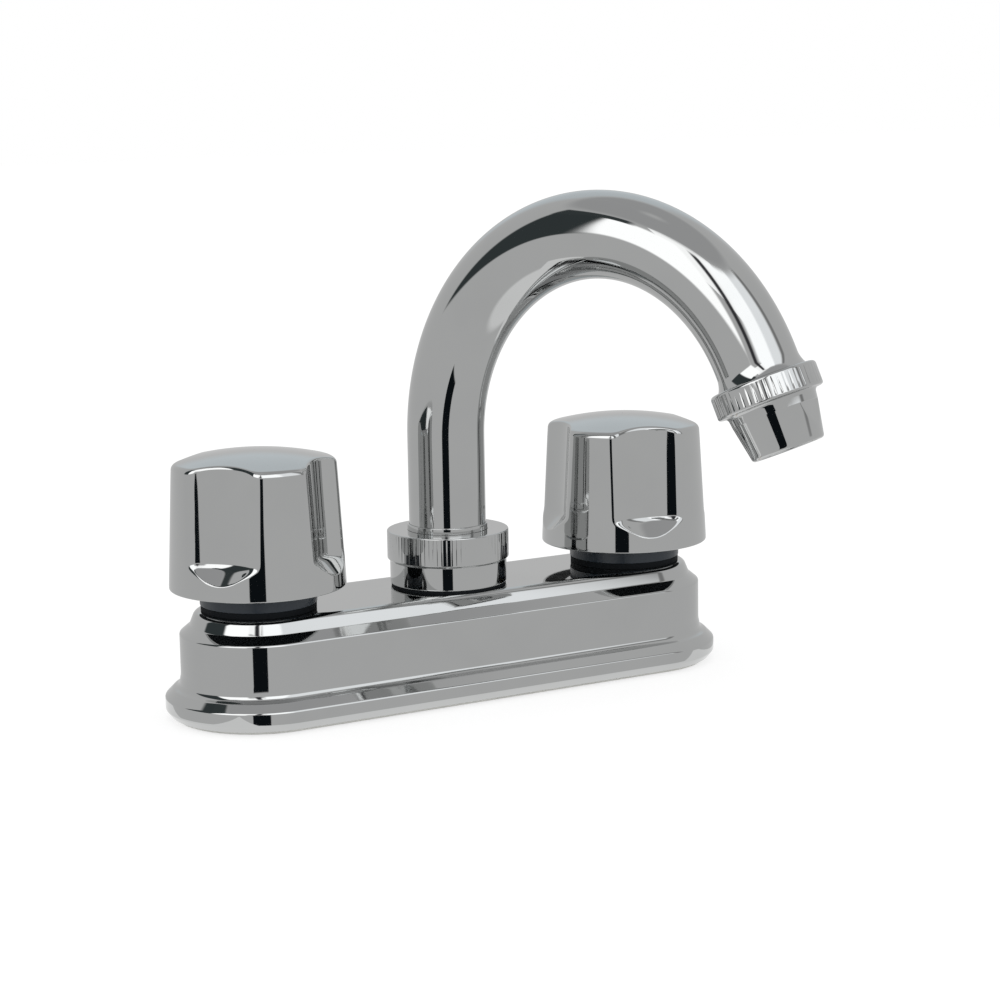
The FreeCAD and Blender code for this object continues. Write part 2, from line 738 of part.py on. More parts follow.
def make_knob(word, x, turn):
    """A tapered knob with a domed top and four scoops, each cut by a coned cutter beside the knob."""
    dome_rise = "(knob_top_level - knob_rim_level)"
    dome_run = "(knob_top_radius - knob_rim_round)"
    dome_radius = f"(({dome_run} * {dome_run} + {dome_rise} * {dome_rise}) / 2 / {dome_rise})"
    body = turned(f"{word}_handle_body", [
        ("knob_cavity_radius", "knob_bottom"),
        ("knob_radius - knob_foot_round", "knob_bottom"),
        ("knob_radius", "knob_bottom + knob_foot_round", "knob_foot_round"),
        ("knob_top_radius", "knob_rim_level - knob_rim_round"),
        (dome_run, "knob_rim_level", "knob_rim_round"),
        ("0", "knob_top_level", dome_radius),
        ("0", "knob_cavity_top"),
        ("knob_cavity_radius", "knob_cavity_top"),
    ])
    cutter = new_sketch(body, f"{word}_scoop_section")
    reach = "(scoop_offset - knob_radius - cut_over)"
    floor_drop = f"((scoop_radius - scoop_lean - ({reach})) * scoop_floor_slope)"
    contour(cutter, [
        ("scoop_offset", f"scoop_floor_inner - {floor_drop}"),
        ("scoop_offset", "knob_top_level + cut_over"),
        ("scoop_offset - scoop_radius", "knob_top_level + cut_over"),
        ("scoop_offset - scoop_radius + scoop_lean", "scoop_floor_inner"),
        (f"scoop_offset - {reach}", f"scoop_floor_inner - {floor_drop}"),
    ])
    axis_line = Part.LineSegment(FreeCAD.Vector(value("scoop_offset"), 0, 0),
                                 FreeCAD.Vector(value("scoop_offset"), 1, 0))
    number = cutter.addGeometry(axis_line, True)
    fix_point(cutter, number, 1, "scoop_offset", "0")
    fix_point(cutter, number, 2, "scoop_offset", "gasket_thickness")
    scoop = revolve(body, cutter, f"{word}_scoop", groove=True, axis="Axis0")
    doc.recompute()
    pattern = body.newObject("PartDesign::PolarPattern", f"{word}_scoops")
    pattern.Originals = [scoop]
    pattern.Axis = (cutter, ["V_Axis"])
    pattern.Angle = 360
    pattern.Occurrences = 4
    body.Tip = pattern
    place(body, x)
    bind(body, "Placement.Rotation.Angle", f"-90 - {turn}")
    keep(body, f"{word}_handle")


def make_handle_parts(word, x):
    insert = turned(f"{word}_handle_insert_body", [
        ("spindle_bore", "insert_bottom"),
        ("insert_hub_radius", "insert_bottom"),
        ("insert_hub_radius", "insert_flange_low"),
        ("knob_cavity_radius - running_gap", "insert_flange_low"),
        ("knob_cavity_radius - running_gap", "insert_top"),
        ("screw_head_radius + running_gap", "insert_top"),
        ("screw_head_radius + running_gap", "screw_seat"),
        ("screw_radius + running_gap", "screw_seat"),
        ("screw_radius + running_gap", "spindle_top + running_gap"),
        ("spindle_bore", "spindle_top + running_gap"),
    ])
    place(insert, x)
    keep(insert, f"{word}_handle_insert")

    screw = turned(f"{word}_handle_screw_body", [
        ("0", "screw_tip"),
        ("screw_radius", "screw_tip"),
        ("screw_radius", "screw_seat"),
        ("screw_head_radius", "screw_seat"),
        ("screw_head_radius", "screw_seat + screw_head_height - edge_break"),
        ("screw_head_radius - edge_break", "screw_seat + screw_head_height"),
        ("0", "screw_seat + screw_head_height"),
    ])
    for plane in ("XZ_Plane", "YZ_Plane"):
        slot = new_sketch(screw, f"{word}_screw_slot_{plane[:2]}", plane)
        contour(slot, [
            ("-screw_slot_width / 2", "screw_seat + screw_head_height - screw_slot_depth"),
            ("screw_slot_width / 2", "screw_seat + screw_head_height - screw_slot_depth"),
            ("screw_slot_width / 2", "screw_seat + screw_head_height + cut_over"),
            ("-screw_slot_width / 2", "screw_seat + screw_head_height + cut_over"),
        ])
        pocket = screw.newObject("PartDesign::Pocket", f"{word}_screw_slot_cut_{plane[:2]}")
        pocket.Profile = slot
        pocket.Midplane = True
        bind(pocket, "Length", "screw_slot_length")
    place(screw, x)
    keep(screw, f"{word}_handle_screw")


def make_spout_nut():
    washer = turned("spout_nut_washer_body", [
        ("nut_bore", "plateau_level"),
        ("nut_washer_radius", "plateau_level"),
        ("nut_washer_radius", "nut_foot"),
        ("nut_bore", "nut_foot"),
    ])
    keep(washer, "spout_nut_washer")
    nut = turned("spout_nut_body", [
        ("nut_bore", "nut_foot"),
        ("nut_lower_radius", "nut_foot"),
        ("nut_lower_radius", "nut_band_low - (nut_radius - nut_lower_radius)"),
        ("nut_radius", "nut_band_low"),
        ("nut_radius", "nut_top - nut_edge_round"),
        ("nut_radius - nut_edge_round", "nut_top", "nut_edge_round"),
        ("nut_eye", "nut_top"),
        ("nut_eye", "nut_lip_low"),
        ("nut_bore", "nut_lip_low"),
    ])
    keep(nut, "spout_nut")
    bushing = turned("spout_bushing_body", [
        ("nut_eye", "ring_high + running_gap"),
        ("nut_bore - running_gap", "ring_high + running_gap"),
        ("nut_bore - running_gap", "nut_lip_low"),
        ("nut_eye", "nut_lip_low"),
    ])
    keep(bushing, "spout_bushing")


def spout_turn():
    """Rotation that points the spout's own +X the way the photographed spout points."""
    return FreeCAD.Rotation(FreeCAD.Vector(0, 0, 1), value("spout_rest_angle") - 90)


def turn_with_spout(item):
    bind(item, "Placement.Rotation.Angle", "spout_rest_angle - 90")


def make_spout_rings():
    ring = turned("spout_retaining_ring_body", [
        ("tube_radius + thread_play", "ring_low"),
        ("ring_radius", "ring_low"),
        ("ring_radius", "ring_high"),
        ("tube_radius + thread_play", "ring_high"),
    ])
    turn_with_spout(ring)
    keep(ring, "spout_retaining_ring")
    ferrule = turned("spout_ferrule_body", [
        ("tube_radius + thread_play", "ferrule_low"),
        ("tube_radius + ferrule_width", "ferrule_low"),
        ("tube_radius + ferrule_width", "ferrule_low + ferrule_height - ferrule_bevel"),
        ("tube_radius + ferrule_width - ferrule_bevel", "ferrule_low + ferrule_height"),
        ("tube_radius + thread_play", "ferrule_low + ferrule_height"),
    ])
    turn_with_spout(ferrule)
    keep(ferrule, "spout_ferrule")
    seals = new_body("spout_o_rings_body")
    sketch = new_sketch(seals, "spout_o_rings_section")
    for level in ("foot_seal_low", "foot_seal_high"):
        ring_in(sketch, "foot_radius - foot_seal_wire", level, "foot_seal_wire")
    revolve(seals, sketch, "spout_o_rings_turn")
    turn_with_spout(seals)
    keep(seals, "spout_o_rings")


def bend_point(angle):
    """Point and direction of the spout's centre line at an angle round its bend, in the spout's XZ plane."""
    turn = math.radians(angle)
    reach = value("bend_reach")
    rise = value("bend_rise")
    point = FreeCAD.Vector(reach * (1 - math.cos(turn)), 0, value("tube_bend_start") + rise * math.sin(turn))
    way = FreeCAD.Vector(reach * math.sin(turn), 0, rise * math.cos(turn)).normalize()
    return point, way


def smooth(share):
    return share * share * (3 - 2 * share)


def tube_radius_at(share):
    """Outer radius along the bend: widest at the crown, as on the photographed spout."""
    first, crown, last = value("tube_radius"), value("tube_crown_radius"), value("tube_end_radius")
    if share < 0.5:
        return first + (crown - first) * smooth(2 * share)
    return crown + (last - crown) * smooth(2 * share - 1)


def tube_stations():
    """Centre, direction and outer radius of each section of the tube, from the nut up and over to the end."""
    up = FreeCAD.Vector(0, 0, 1)
    low = value("hub_top")
    start = value("tube_bend_start")
    straight_steps = 4
    bend_steps = 12
    tail_steps = 2
    stations = []
    for k in range(straight_steps):
        level = low + (start - low) * k / straight_steps
        stations.append((FreeCAD.Vector(0, 0, level), up, value("tube_radius")))
    for k in range(bend_steps + 1):
        share = k / bend_steps
        point, way = bend_point(share * value("bend_end_angle"))
        stations.append((point, way, tube_radius_at(share)))
    point, way = bend_point(value("bend_end_angle"))
    for k in range(1, tail_steps + 1):
        stations.append((point + way * (value("tube_tail") * k / tail_steps), way, value("tube_end_radius")))
    return stations


def tube_solid(inset):
    wires = []
    for point, way, radius in tube_stations():
        edge = Part.Edge(Part.Circle(point, way, radius - inset))
        wires.append(Part.Wire([edge]))
    return Part.makeLoft(wires, True, False)


def spun(points, centre, way):
    """Solid turned from a half section of (radius, distance along the way) about a sloping axis."""
    corners = [FreeCAD.Vector(radius, 0, along) for radius, along in points]
    face = Part.Face(Part.makePolygon(corners + [corners[0]]))
    solid = face.revolve(FreeCAD.Vector(0, 0, 0), FreeCAD.Vector(0, 0, 1), 360)
    solid.Placement = FreeCAD.Placement(centre, FreeCAD.Rotation(FreeCAD.Vector(0, 0, 1), way))
    return solid


def spout_end():
    """Centre and direction of the tube's open end, in the spout's own frame."""
    point, way = bend_point(value("bend_end_angle"))
    return point + way * value("tube_tail"), way


def make_spout_tube():
    """Bent tube with a grooved foot in the hub, a flared lip and a spigot for the aerator."""
    up = FreeCAD.Vector(0, 0, 1)
    end, way = spout_end()
    wire = value("foot_seal_wire")
    foot = value("foot_radius")
    low, top = value("foot_bottom"), value("hub_top")
    edge = value("edge_break")
    over = value("cut_over")
    groove_half = wire + value("seal_groove_play")
    foot_section = [(0, low), (foot - edge, low), (foot, low + edge)]
    for level in (value("foot_seal_low"), value("foot_seal_high")):
        foot_section += [(foot, level - groove_half), (foot - 2 * wire, level - groove_half),
                         (foot - 2 * wire, level + groove_half), (foot, level + groove_half)]
    foot_section += [(foot, top + edge), (0, top + edge)]
    flare_steps = 8
    sink = 0.05
    tube_end = value("tube_end_radius") - sink
    flare_rise = value("flare_radius") - tube_end
    flare_length, lip = value("flare_length"), value("flare_lip")
    flare = [(0, 0.0), (value("flare_radius"), 0.0)]
    for k in range(flare_steps + 1):
        share = 1 - k / flare_steps
        flare.append((tube_end + flare_rise * share * share, -lip - (flare_length - lip) * (1 - share)))
    flare.append((0, -flare_length))
    spigot_radius, spigot_length = value("spigot_radius"), value("spigot_length")
    spigot = [(0, -over), (spigot_radius, -over), (spigot_radius, spigot_length), (0, spigot_length)]
    origin = FreeCAD.Vector(0, 0, 0)
    metal = tube_solid(0).fuse([
        spun(foot_section, origin, up),
        spun(flare, end, way),
        spun(spigot, end, way),
    ])
    bore = value("foot_bore")
    mouth = value("spigot_bore")
    hole = tube_solid(value("tube_wall")).fuse([
        spun([(0, low - over), (bore, low - over), (bore, top + over), (0, top + over)], origin, up),
        spun([(0, -over), (mouth, -over), (mouth, spigot_length + over), (0, spigot_length + over)],
             end, way),
    ])
    tube = doc.addObject("Part::Feature", "spout_tube_feature")
    tube.Shape = metal.cut(hole)
    tube.Placement = FreeCAD.Placement(FreeCAD.Vector(0, 0, 0), spout_turn())
    keep(tube, "spout_tube")


def at_outlet(item):
    """Place a piece drawn along +Z from the tube's end so that it points out of the spout."""
    end, way = spout_end()
    lean = FreeCAD.Rotation(FreeCAD.Vector(0, 0, 1), way)
    own = FreeCAD.Placement(end, lean)
    item.Placement = FreeCAD.Placement(FreeCAD.Vector(0, 0, 0), spout_turn()).multiply(own)


def along_row(number):
    """Place of a hole of the screen along a row that is numbered from the middle."""
    return f"{number} * screen_pitch" if number else "0"


def make_aerator():
    """Knurled ring with a coned body and two flats, its washer, insert and screen."""
    ring_end = "(aerator_ring_height - aerator_ring_start)"
    housing = turned("aerator_housing_body", [
        ("flare_radius + thread_play", "-aerator_ring_start"),
        ("aerator_ring_radius - aerator_ring_round", "-aerator_ring_start"),
        ("aerator_ring_radius", "aerator_ring_round - aerator_ring_start", "aerator_ring_round"),
        ("aerator_ring_radius", f"{ring_end} - aerator_ring_bevel"),
        ("aerator_ring_radius - aerator_ring_bevel", ring_end),
        ("aerator_shoulder_radius + aerator_cove", ring_end),
        ("aerator_shoulder_radius", f"{ring_end} + aerator_cove", "-aerator_cove"),
        ("aerator_outlet_radius", "aerator_length - aerator_edge_round"),
        ("aerator_outlet_radius - aerator_edge_round", "aerator_length", "aerator_edge_round"),
        ("aerator_mouth_radius", "aerator_length"),
        ("aerator_mouth_radius", "aerator_lip"),
        ("insert_radius + thread_play", "aerator_lip"),
        ("insert_radius + thread_play", "aerator_insert_low"),
        ("aerator_thread", "aerator_insert_low"),
        ("aerator_thread", "thread_play"),
        ("flare_radius + thread_play", "thread_play"),
    ])
    for sign in ("", "-"):
        mark = "b" if sign else "a"
        flat = new_sketch(housing, f"aerator_flat_{mark}", "XZ_Plane")
        contour(flat, [
            (f"{sign}aerator_flats / 2", "aerator_flat_start"),
            (f"{sign}2 * aerator_flats", "aerator_flat_start"),
            (f"{sign}2 * aerator_flats", "aerator_length + cut_over"),
            (f"{sign}aerator_flats / 2", "aerator_length + cut_over"),
        ])
        pocket = housing.newObject("PartDesign::Pocket", f"aerator_flat_cut_{mark}")
        pocket.Profile = flat
        pocket.Type = "ThroughAll"
        pocket.Midplane = True
    keep(housing, "aerator_housing")

    washer = turned("aerator_washer_body", [
        ("aerator_mouth_radius", "aerator_washer_low"),
        ("spigot_radius", "aerator_washer_low"),
        ("spigot_radius", "aerator_insert_low"),
        ("aerator_mouth_radius", "aerator_insert_low"),
    ])
    keep(washer, "aerator_washer")

    insert = new_body("aerator_insert_body")
    sketch = new_sketch(insert, "aerator_insert_outline", "XY_Plane")
    ring_in(sketch, "0", "0", "insert_radius")
    hole_count = 6
    for k in range(hole_count):
        angle = f"({360 * k / hole_count} + insert_hole_turn)"
        ring_in(sketch, f"insert_hole_circle * cos({angle})", f"insert_hole_circle * sin({angle})",
                "insert_hole_radius")
    ring_in(sketch, "0", "0", "insert_hole_radius")
    pad = insert.newObject("PartDesign::Pad", "aerator_insert_pad")
    pad.Profile = sketch
    bind(pad, "Length", "screen_low - aerator_insert_low")
    keep(insert, "aerator_insert")

    screen = new_body("aerator_screen_body")
    outline = new_sketch(screen, "aerator_screen_outline", "XY_Plane")
    ring_in(outline, "0", "0", "insert_radius")
    disc = screen.newObject("PartDesign::Pad", "aerator_screen_pad")
    disc.Profile = outline
    bind(disc, "Length", "screen_thickness")
    hole_sketch = new_sketch(screen, "aerator_screen_holes", "XY_Plane")
    rows = int(value("(aerator_mouth_radius - screen_hole) / screen_pitch"))
    for i in range(-rows, rows + 1):
        for j in range(-rows, rows + 1):
            if i * i + j * j <= rows * rows:
                ring_in(hole_sketch, along_row(i), along_row(j), "screen_hole")
    holes = screen.newObject("PartDesign::Pocket", "aerator_screen_hole_cut")
    holes.Profile = hole_sketch
    holes.Type = "ThroughAll"
    holes.Midplane = True
    keep(screen, "aerator_screen")

    doc.recompute()
    for item in (housing, washer):
        at_outlet(item)
    for item, level in ((insert, "aerator_insert_low"), (screen, "screen_low")):
        at_outlet(item)
        item.Placement = item.Placement.multiply(
            FreeCAD.Placement(FreeCAD.Vector(0, 0, value(level)), FreeCAD.Rotation()))


def check_and_export():
    """Stop on any failed object or bad shape, then write one STEP file for each piece."""
    doc.recompute()
    failed = [item.Label for item in doc.Objects if "Invalid" in item.State or "Error" in item.State]
    if failed:
        raise RuntimeError(f"these objects failed: {failed}")
    for node in nodes:
        if node.Shape.isNull() or not node.Shape.isValid() or not node.Shape.Solids:
            raise RuntimeError(f"{node.Label} has no valid solid")
    os.makedirs("parts", exist_ok=True)
    for node in nodes:
        node.Shape.exportStep(f"parts/{node.Label}.step")
        print(node.Label, len(node.Shape.Solids), round(node.Shape.Volume, 2))


def main():
    fill_sheet()
    make_base_gasket()
    make_base_cover()
    make_waterway()
    for word, x, turn in (("hot", "-side", "hot_knob_turn"), ("cold", "side", "cold_knob_turn")):
        make_collar(word, x)
        make_cartridge(word, x)
        make_knob(word, x, turn)
        make_handle_parts(word, x)
        make_under_deck(word, x)
    make_spout_nut()
    make_spout_rings()
    make_spout_tube()
    make_aerator()
    check_and_export()


main()
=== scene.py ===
"""Looks of a basin mixer tap: chromed base, two fluted knobs, a knurled nut and a bent swivel spout.

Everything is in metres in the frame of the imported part: +Z up, the deck at z = 0, X along the base with the
hot knob at -X, and the front of the tap looking along -Y.
"""

import json
import logging
import math
from dataclasses import dataclass, field
from enum import Enum
from typing import Sequence

import bmesh
import bpy
from mathutils import Matrix, Vector


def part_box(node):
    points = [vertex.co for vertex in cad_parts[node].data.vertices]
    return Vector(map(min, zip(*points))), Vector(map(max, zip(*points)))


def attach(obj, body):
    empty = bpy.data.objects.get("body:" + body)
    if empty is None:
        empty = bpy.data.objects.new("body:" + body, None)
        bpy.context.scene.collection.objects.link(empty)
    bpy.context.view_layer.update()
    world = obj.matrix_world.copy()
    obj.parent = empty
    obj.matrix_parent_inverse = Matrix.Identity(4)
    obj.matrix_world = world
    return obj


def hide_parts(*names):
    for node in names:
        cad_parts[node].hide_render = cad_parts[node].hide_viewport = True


MM = 0.001

# Arcs of rounded sections: the largest turn from one point to the next, the distance of the extra point on
# each straight side, which keeps flat faces flat, and the share of a side that one arc may take.
ARC_STEP = math.radians(10)
ARC_GUARD = 0.08 * MM
ARC_ROOM = 0.49

# Points of a mesh that are closer than this become one.
MERGE_DISTANCE = 1e-7

# The gap that keeps the faces of touching pieces out of one plane.
PLAY = 0.02 * MM

log = logging.getLogger("tap")

Point = tuple[float, float]
Colour = tuple[float, float, float]


class Slot(Enum):
    """Material slots of the part's record."""

    CHROME = "chrome"
    BRASS = "brass"
    RUBBER = "rubber"
    DARK_PLASTIC = "dark_plastic"
    WHITE_PLASTIC = "white_plastic"
    CERAMIC = "ceramic"
    STEEL = "steel"


class Side(Enum):
    """The two valves, by the side of the tap that they stand on."""

    HOT = "hot"
    COLD = "cold"


class Wiring:
    """A node tree that short calls add to."""

    SETTINGS = ("operation", "data_type", "interpolation_type", "noise_dimensions", "node_tree")

    def __init__(self, tree: bpy.types.NodeTree) -> None:
        """Takes the tree."""
        self.tree = tree

    def feed(self, socket: bpy.types.NodeSocket, source: object) -> None:
        """Links another socket to an input, or sets the input to a plain value.

        Args:
            socket: The input.
            source: The socket to link, or the value.
        """
        if isinstance(source, bpy.types.NodeSocket):
            self.tree.links.new(source, socket)
        else:
            socket.default_value = source

    def set(self, node: bpy.types.Node, **inputs: object) -> None:
        """Feeds a node.

        Args:
            node: The node.
            inputs: Sockets to link or values to set, by input name with underscores for spaces. The names in
                SETTINGS are the node's own settings, and stand before the inputs that depend on them.
        """
        for name, source in inputs.items():
            if name in self.SETTINGS:
                setattr(node, name, source)
            else:
                self.feed(node.inputs[name.replace("_", " ")], source)

    def add(self, kind: str, **inputs: object) -> bpy.types.Node:
        """Adds a node of a type, fed as in set, and returns it."""
        node = self.tree.nodes.new(kind)
        self.set(node, **inputs)
        return node

    def _joined(self, node: bpy.types.Node, sources: Sequence[object], first: int = 0) -> bpy.types.Node:
        """Feeds a node's inputs in order, from a first one on.

        Args:
            node: The node.
            sources: Sockets to link or values to set.
            first: Index of the first input to feed.

        Returns:
            The same node.
        """
        for index, source in enumerate(sources, first):
            self.feed(node.inputs[index], source)
        return node

    def math(self, operation: str, first: object, second: object) -> bpy.types.NodeSocket:
        """Adds a Math node on two sockets or numbers and returns its result."""
        return self._joined(self.add("ShaderNodeMath", operation=operation), (first, second)).outputs[0]

    def mix(self, data_type: str, share: object, first: object, second: object) -> bpy.types.NodeSocket:
        """Adds a Mix node.

        Args:
            data_type: FLOAT for numbers, RGBA for colours.
            share: How much of the second one comes out.
            first: The first number or colour, or its socket.
            second: The second one.

        Returns:
            The socket with the result.
        """
        inputs_start, result = {"FLOAT": (2, 0), "RGBA": (6, 2)}[data_type]
        node = self.add("ShaderNodeMix", data_type=data_type)
        self.feed(node.inputs[0], share)
        return self._joined(node, (first, second), inputs_start).outputs[result]

    def mix_shaders(self, share: object, first: object, second: object) -> bpy.types.NodeSocket:
        """Adds a Mix Shader node and returns its shader."""
        return self._joined(self.add("ShaderNodeMixShader"), (share, first, second)).outputs[0]


class NodeGroup(Wiring):
    """A node group with named inputs and outputs."""

    def __init__(self, name: str, kind: str) -> None:
        """Starts an empty group.

        Args:
            name: The group's name.
            kind: The type of its node tree.
        """
        super().__init__(bpy.data.node_groups.new(name, kind))
        self.entry = self.add("NodeGroupInput")
        self.leave = self.add("NodeGroupOutput")

    def ask(self, name: str, kind: str = "NodeSocketFloat") -> bpy.types.NodeSocket:
        """Adds a named input and returns its socket inside the group."""
        self.tree.interface.new_socket(name, in_out="INPUT", socket_type=kind)
        return self.entry.outputs[name]

    def give(self, name: str, source: bpy.types.NodeSocket, kind: str = "NodeSocketFloat") -> None:
        """Adds a named output that a socket inside the group feeds."""
        self.tree.interface.new_socket(name, in_out="OUTPUT", socket_type=kind)
        self.feed(self.leave.inputs[name], source)


class MarkGroups:
    """Shader node groups that several finishes share."""

    def __init__(self) -> None:
        """Builds each group once."""
        even, upright = (1.0, 1.0, 1.0), (1.0, 1.0, 0.06)
        self.smudges = self._noise_group("smudges", detail=4.0, stretch=even, low=0.42, high=0.72)
        self.hairlines = self._noise_group("hairlines", detail=2.0, stretch=upright, low=0.56, high=0.7)
        self.grains = self._noise_group("grains", detail=6.0, stretch=even, low=0.3, high=0.7)

    @staticmethod
    def _noise_group(
        name: str, detail: float, stretch: tuple[float, float, float], low: float, high: float
    ) -> bpy.types.ShaderNodeTree:
        """A group that turns object coordinates into a mask of marks.

        Args:
            name: The group's name.
            detail: Octaves of the noise.
            stretch: How far the marks are squeezed along each axis.
            low: Noise value where a mark starts.
            high: Noise value where a mark is full.

        Returns:
            The node group, with inputs Scale and Seed and outputs Mask and Height.
        """
        group = NodeGroup(name, "ShaderNodeTree")
        scale, seed = group.ask("Scale"), group.ask("Seed")
        place = group.add("ShaderNodeTexCoord")
        squeeze = group.add("ShaderNodeMapping", Scale=stretch, Vector=place.outputs["Object"])
        noise = group.add("ShaderNodeTexNoise", noise_dimensions="4D", Detail=detail, Scale=scale, W=seed,
                          Vector=squeeze.outputs["Vector"])
        mask = group.add("ShaderNodeMapRange", interpolation_type="SMOOTHSTEP", From_Min=low, From_Max=high,
                         Value=noise.outputs["Fac"])
        group.give("Mask", mask.outputs["Result"])
        group.give("Height", noise.outputs["Fac"])
        return group.tree


@dataclass(frozen=True)
class Finish:
    """How one material looks: its colour, gloss, marks and the fine shape of its surface."""

    slot: Slot
    colour: Colour
    mark_colour: Colour
    roughness: float
    roughness_rise: float
    mark_share: float
    mark_scale: float
    line_scale: float
    bump_scale: float
    bump_depth: float
    seed: float = 0.0
    metallic: float = 0.0
    coat: float = 0.0
    specular: float = 0.5

    def build(self, groups: MarkGroups) -> bpy.types.Material:
        """Makes the material.

        Args:
            groups: The shared node groups.

        Returns:
            A node material named after its slot.
        """
        material = bpy.data.materials.new(self.slot.value)
        material.use_nodes = True
        wiring = Wiring(material.node_tree)
        smudges, lines, grains = (
            wiring.add("ShaderNodeGroup", node_tree=group, Scale=scale, Seed=self.seed)
            for group, scale in ((groups.smudges, self.mark_scale), (groups.hairlines, self.line_scale),
                                 (groups.grains, self.bump_scale))
        )
        share = wiring.math("MULTIPLY", smudges.outputs["Mask"], self.mark_share)
        tint = wiring.mix("RGBA", share, (*self.colour, 1.0), (*self.mark_colour, 1.0))
        marked = wiring.math("MAXIMUM", smudges.outputs["Mask"], lines.outputs["Mask"])
        gloss = wiring.add("ShaderNodeMapRange", To_Min=self.roughness,
                           To_Max=self.roughness + self.roughness_rise, Value=marked)
        bump = wiring.add("ShaderNodeBump", Distance=self.bump_depth, Height=grains.outputs["Height"])
        wiring.set(wiring.tree.nodes["Principled BSDF"], Metallic=self.metallic, Coat_Weight=self.coat,
                   Specular_IOR_Level=self.specular, Base_Color=tint, Roughness=gloss.outputs["Result"],
                   Normal=bump.outputs["Normal"])
        return material


FINISHES = (
    Finish(Slot.CHROME, colour=(0.549, 0.556, 0.554), mark_colour=(0.52, 0.527, 0.525), roughness=0.03,
           roughness_rise=0.025, mark_share=0.5, mark_scale=60.0, line_scale=900.0, bump_scale=40.0,
           bump_depth=0.004 * MM, metallic=1.0),
    Finish(Slot.BRASS, colour=(0.66, 0.47, 0.20), mark_colour=(0.50, 0.33, 0.14), roughness=0.24,
           roughness_rise=0.18, mark_share=0.7, mark_scale=180.0, line_scale=1500.0, bump_scale=900.0,
           bump_depth=0.02 * MM, seed=3.0, metallic=1.0),
    Finish(Slot.RUBBER, colour=(0.006, 0.008, 0.010), mark_colour=(0.009, 0.011, 0.013), roughness=0.62,
           roughness_rise=0.2, mark_share=0.6, mark_scale=300.0, line_scale=1200.0, bump_scale=2500.0,
           bump_depth=0.03 * MM, seed=5.0, specular=0.1),
    Finish(Slot.DARK_PLASTIC, colour=(0.020, 0.029, 0.040), mark_colour=(0.030, 0.039, 0.050), roughness=0.3,
           roughness_rise=0.14, mark_share=0.5, mark_scale=240.0, line_scale=1400.0, bump_scale=1800.0,
           bump_depth=0.012 * MM, seed=7.0),
    Finish(Slot.WHITE_PLASTIC, colour=(0.78, 0.78, 0.75), mark_colour=(0.70, 0.70, 0.66), roughness=0.38,
           roughness_rise=0.14, mark_share=0.5, mark_scale=240.0, line_scale=1400.0, bump_scale=1500.0,
           bump_depth=0.012 * MM, seed=9.0),
    Finish(Slot.CERAMIC, colour=(0.86, 0.85, 0.81), mark_colour=(0.80, 0.78, 0.74), roughness=0.18,
           roughness_rise=0.1, mark_share=0.4, mark_scale=300.0, line_scale=1800.0, bump_scale=1500.0,
           bump_depth=0.004 * MM, seed=11.0, coat=0.3),
    Finish(Slot.STEEL, colour=(0.52, 0.52, 0.53), mark_colour=(0.42, 0.42, 0.43), roughness=0.28,
           roughness_rise=0.16, mark_share=0.5, mark_scale=300.0, line_scale=2200.0, bump_scale=1200.0,
           bump_depth=0.01 * MM, seed=13.0, metallic=1.0),
)


@dataclass(frozen=True)
class Corner:
    """A corner of a section: its distance from the axis, its height and its rounding."""

    out: float
    up: float
    round: float = 0.12 * MM


def turn_between(arrive: Vector, leave: Vector) -> float:
    """The signed angle from one direction in a plane to another."""
    return math.atan2(arrive.x * leave.y - arrive.y * leave.x, arrive.dot(leave))


def arc_points(here: Vector, arrive: Vector, leave: Vector, radius: float, steps: int) -> list[Point]:
    """Points of the arc that rounds a corner and touches both its sides.

    Args:
        here: The corner.
        arrive: Unit direction of the side that leads to it.
        leave: Unit direction of the side that leads away.
        radius: The arc's radius.
        steps: Number of steps along the arc.

    Returns:
        The points, one more than there are steps.
    """
    turn = turn_between(arrive, leave)
    start = here - arrive * (radius * math.tan(abs(turn) / 2))
    inward = Vector((-arrive.y, arrive.x)) * math.copysign(1, turn)
    centre = start + inward * radius
    spoke = -inward * radius
    return [tuple(centre + Matrix.Rotation(turn * k / steps, 2) @ spoke) for k in range(steps + 1)]


def rounded(corners: Sequence[Corner], closed: bool = True) -> list[Point]:
    """Rounds the corners of an outline with arcs.

    Args:
        corners: The outline's corners in order.
        closed: Whether the last corner leads back to the first.

    Returns:
        Points of the rounded outline.
    """
    spots = [Vector((corner.out, corner.up)) for corner in corners]
    points: list[Point] = []
    for index, (corner, here) in enumerate(zip(corners, spots)):
        if not closed and index in (0, len(spots) - 1):
            points.append(tuple(here))
            continue
        before, after = spots[index - 1], spots[(index + 1) % len(spots)]
        arrive = (here - before).normalized()
        leave = (after - here).normalized()
        turn = abs(turn_between(arrive, leave))
        room = ARC_ROOM * min((here - before).length, (after - here).length)
        half = math.tan(turn / 2)
        reach = min(corner.round * half, room)
        guarded = ARC_GUARD < room - reach
        if guarded:
            points.append(tuple(here - arrive * reach - arrive * ARC_GUARD))
        points += arc_points(here, arrive, leave, reach / half, max(2, math.ceil(turn / ARC_STEP)))
        if guarded:
            points.append(tuple(here + leave * (reach + ARC_GUARD)))
    return points


def quads(rings: int, columns: int, wrap: bool) -> list[tuple[int, int, int, int]]:
    """Faces between rings of points that each close on themselves.

    Args:
        rings: Number of rings.
        columns: Points in each ring.
        wrap: Whether the last ring joins the first.

    Returns:
        Index quads.
    """
    faces = []
    for i in range(rings if wrap else rings - 1):
        for j in range(columns):
            a, b = i * columns, ((i + 1) % rings) * columns
            k = (j + 1) % columns
            faces.append((a + j, a + k, b + k, b + j))
    return faces


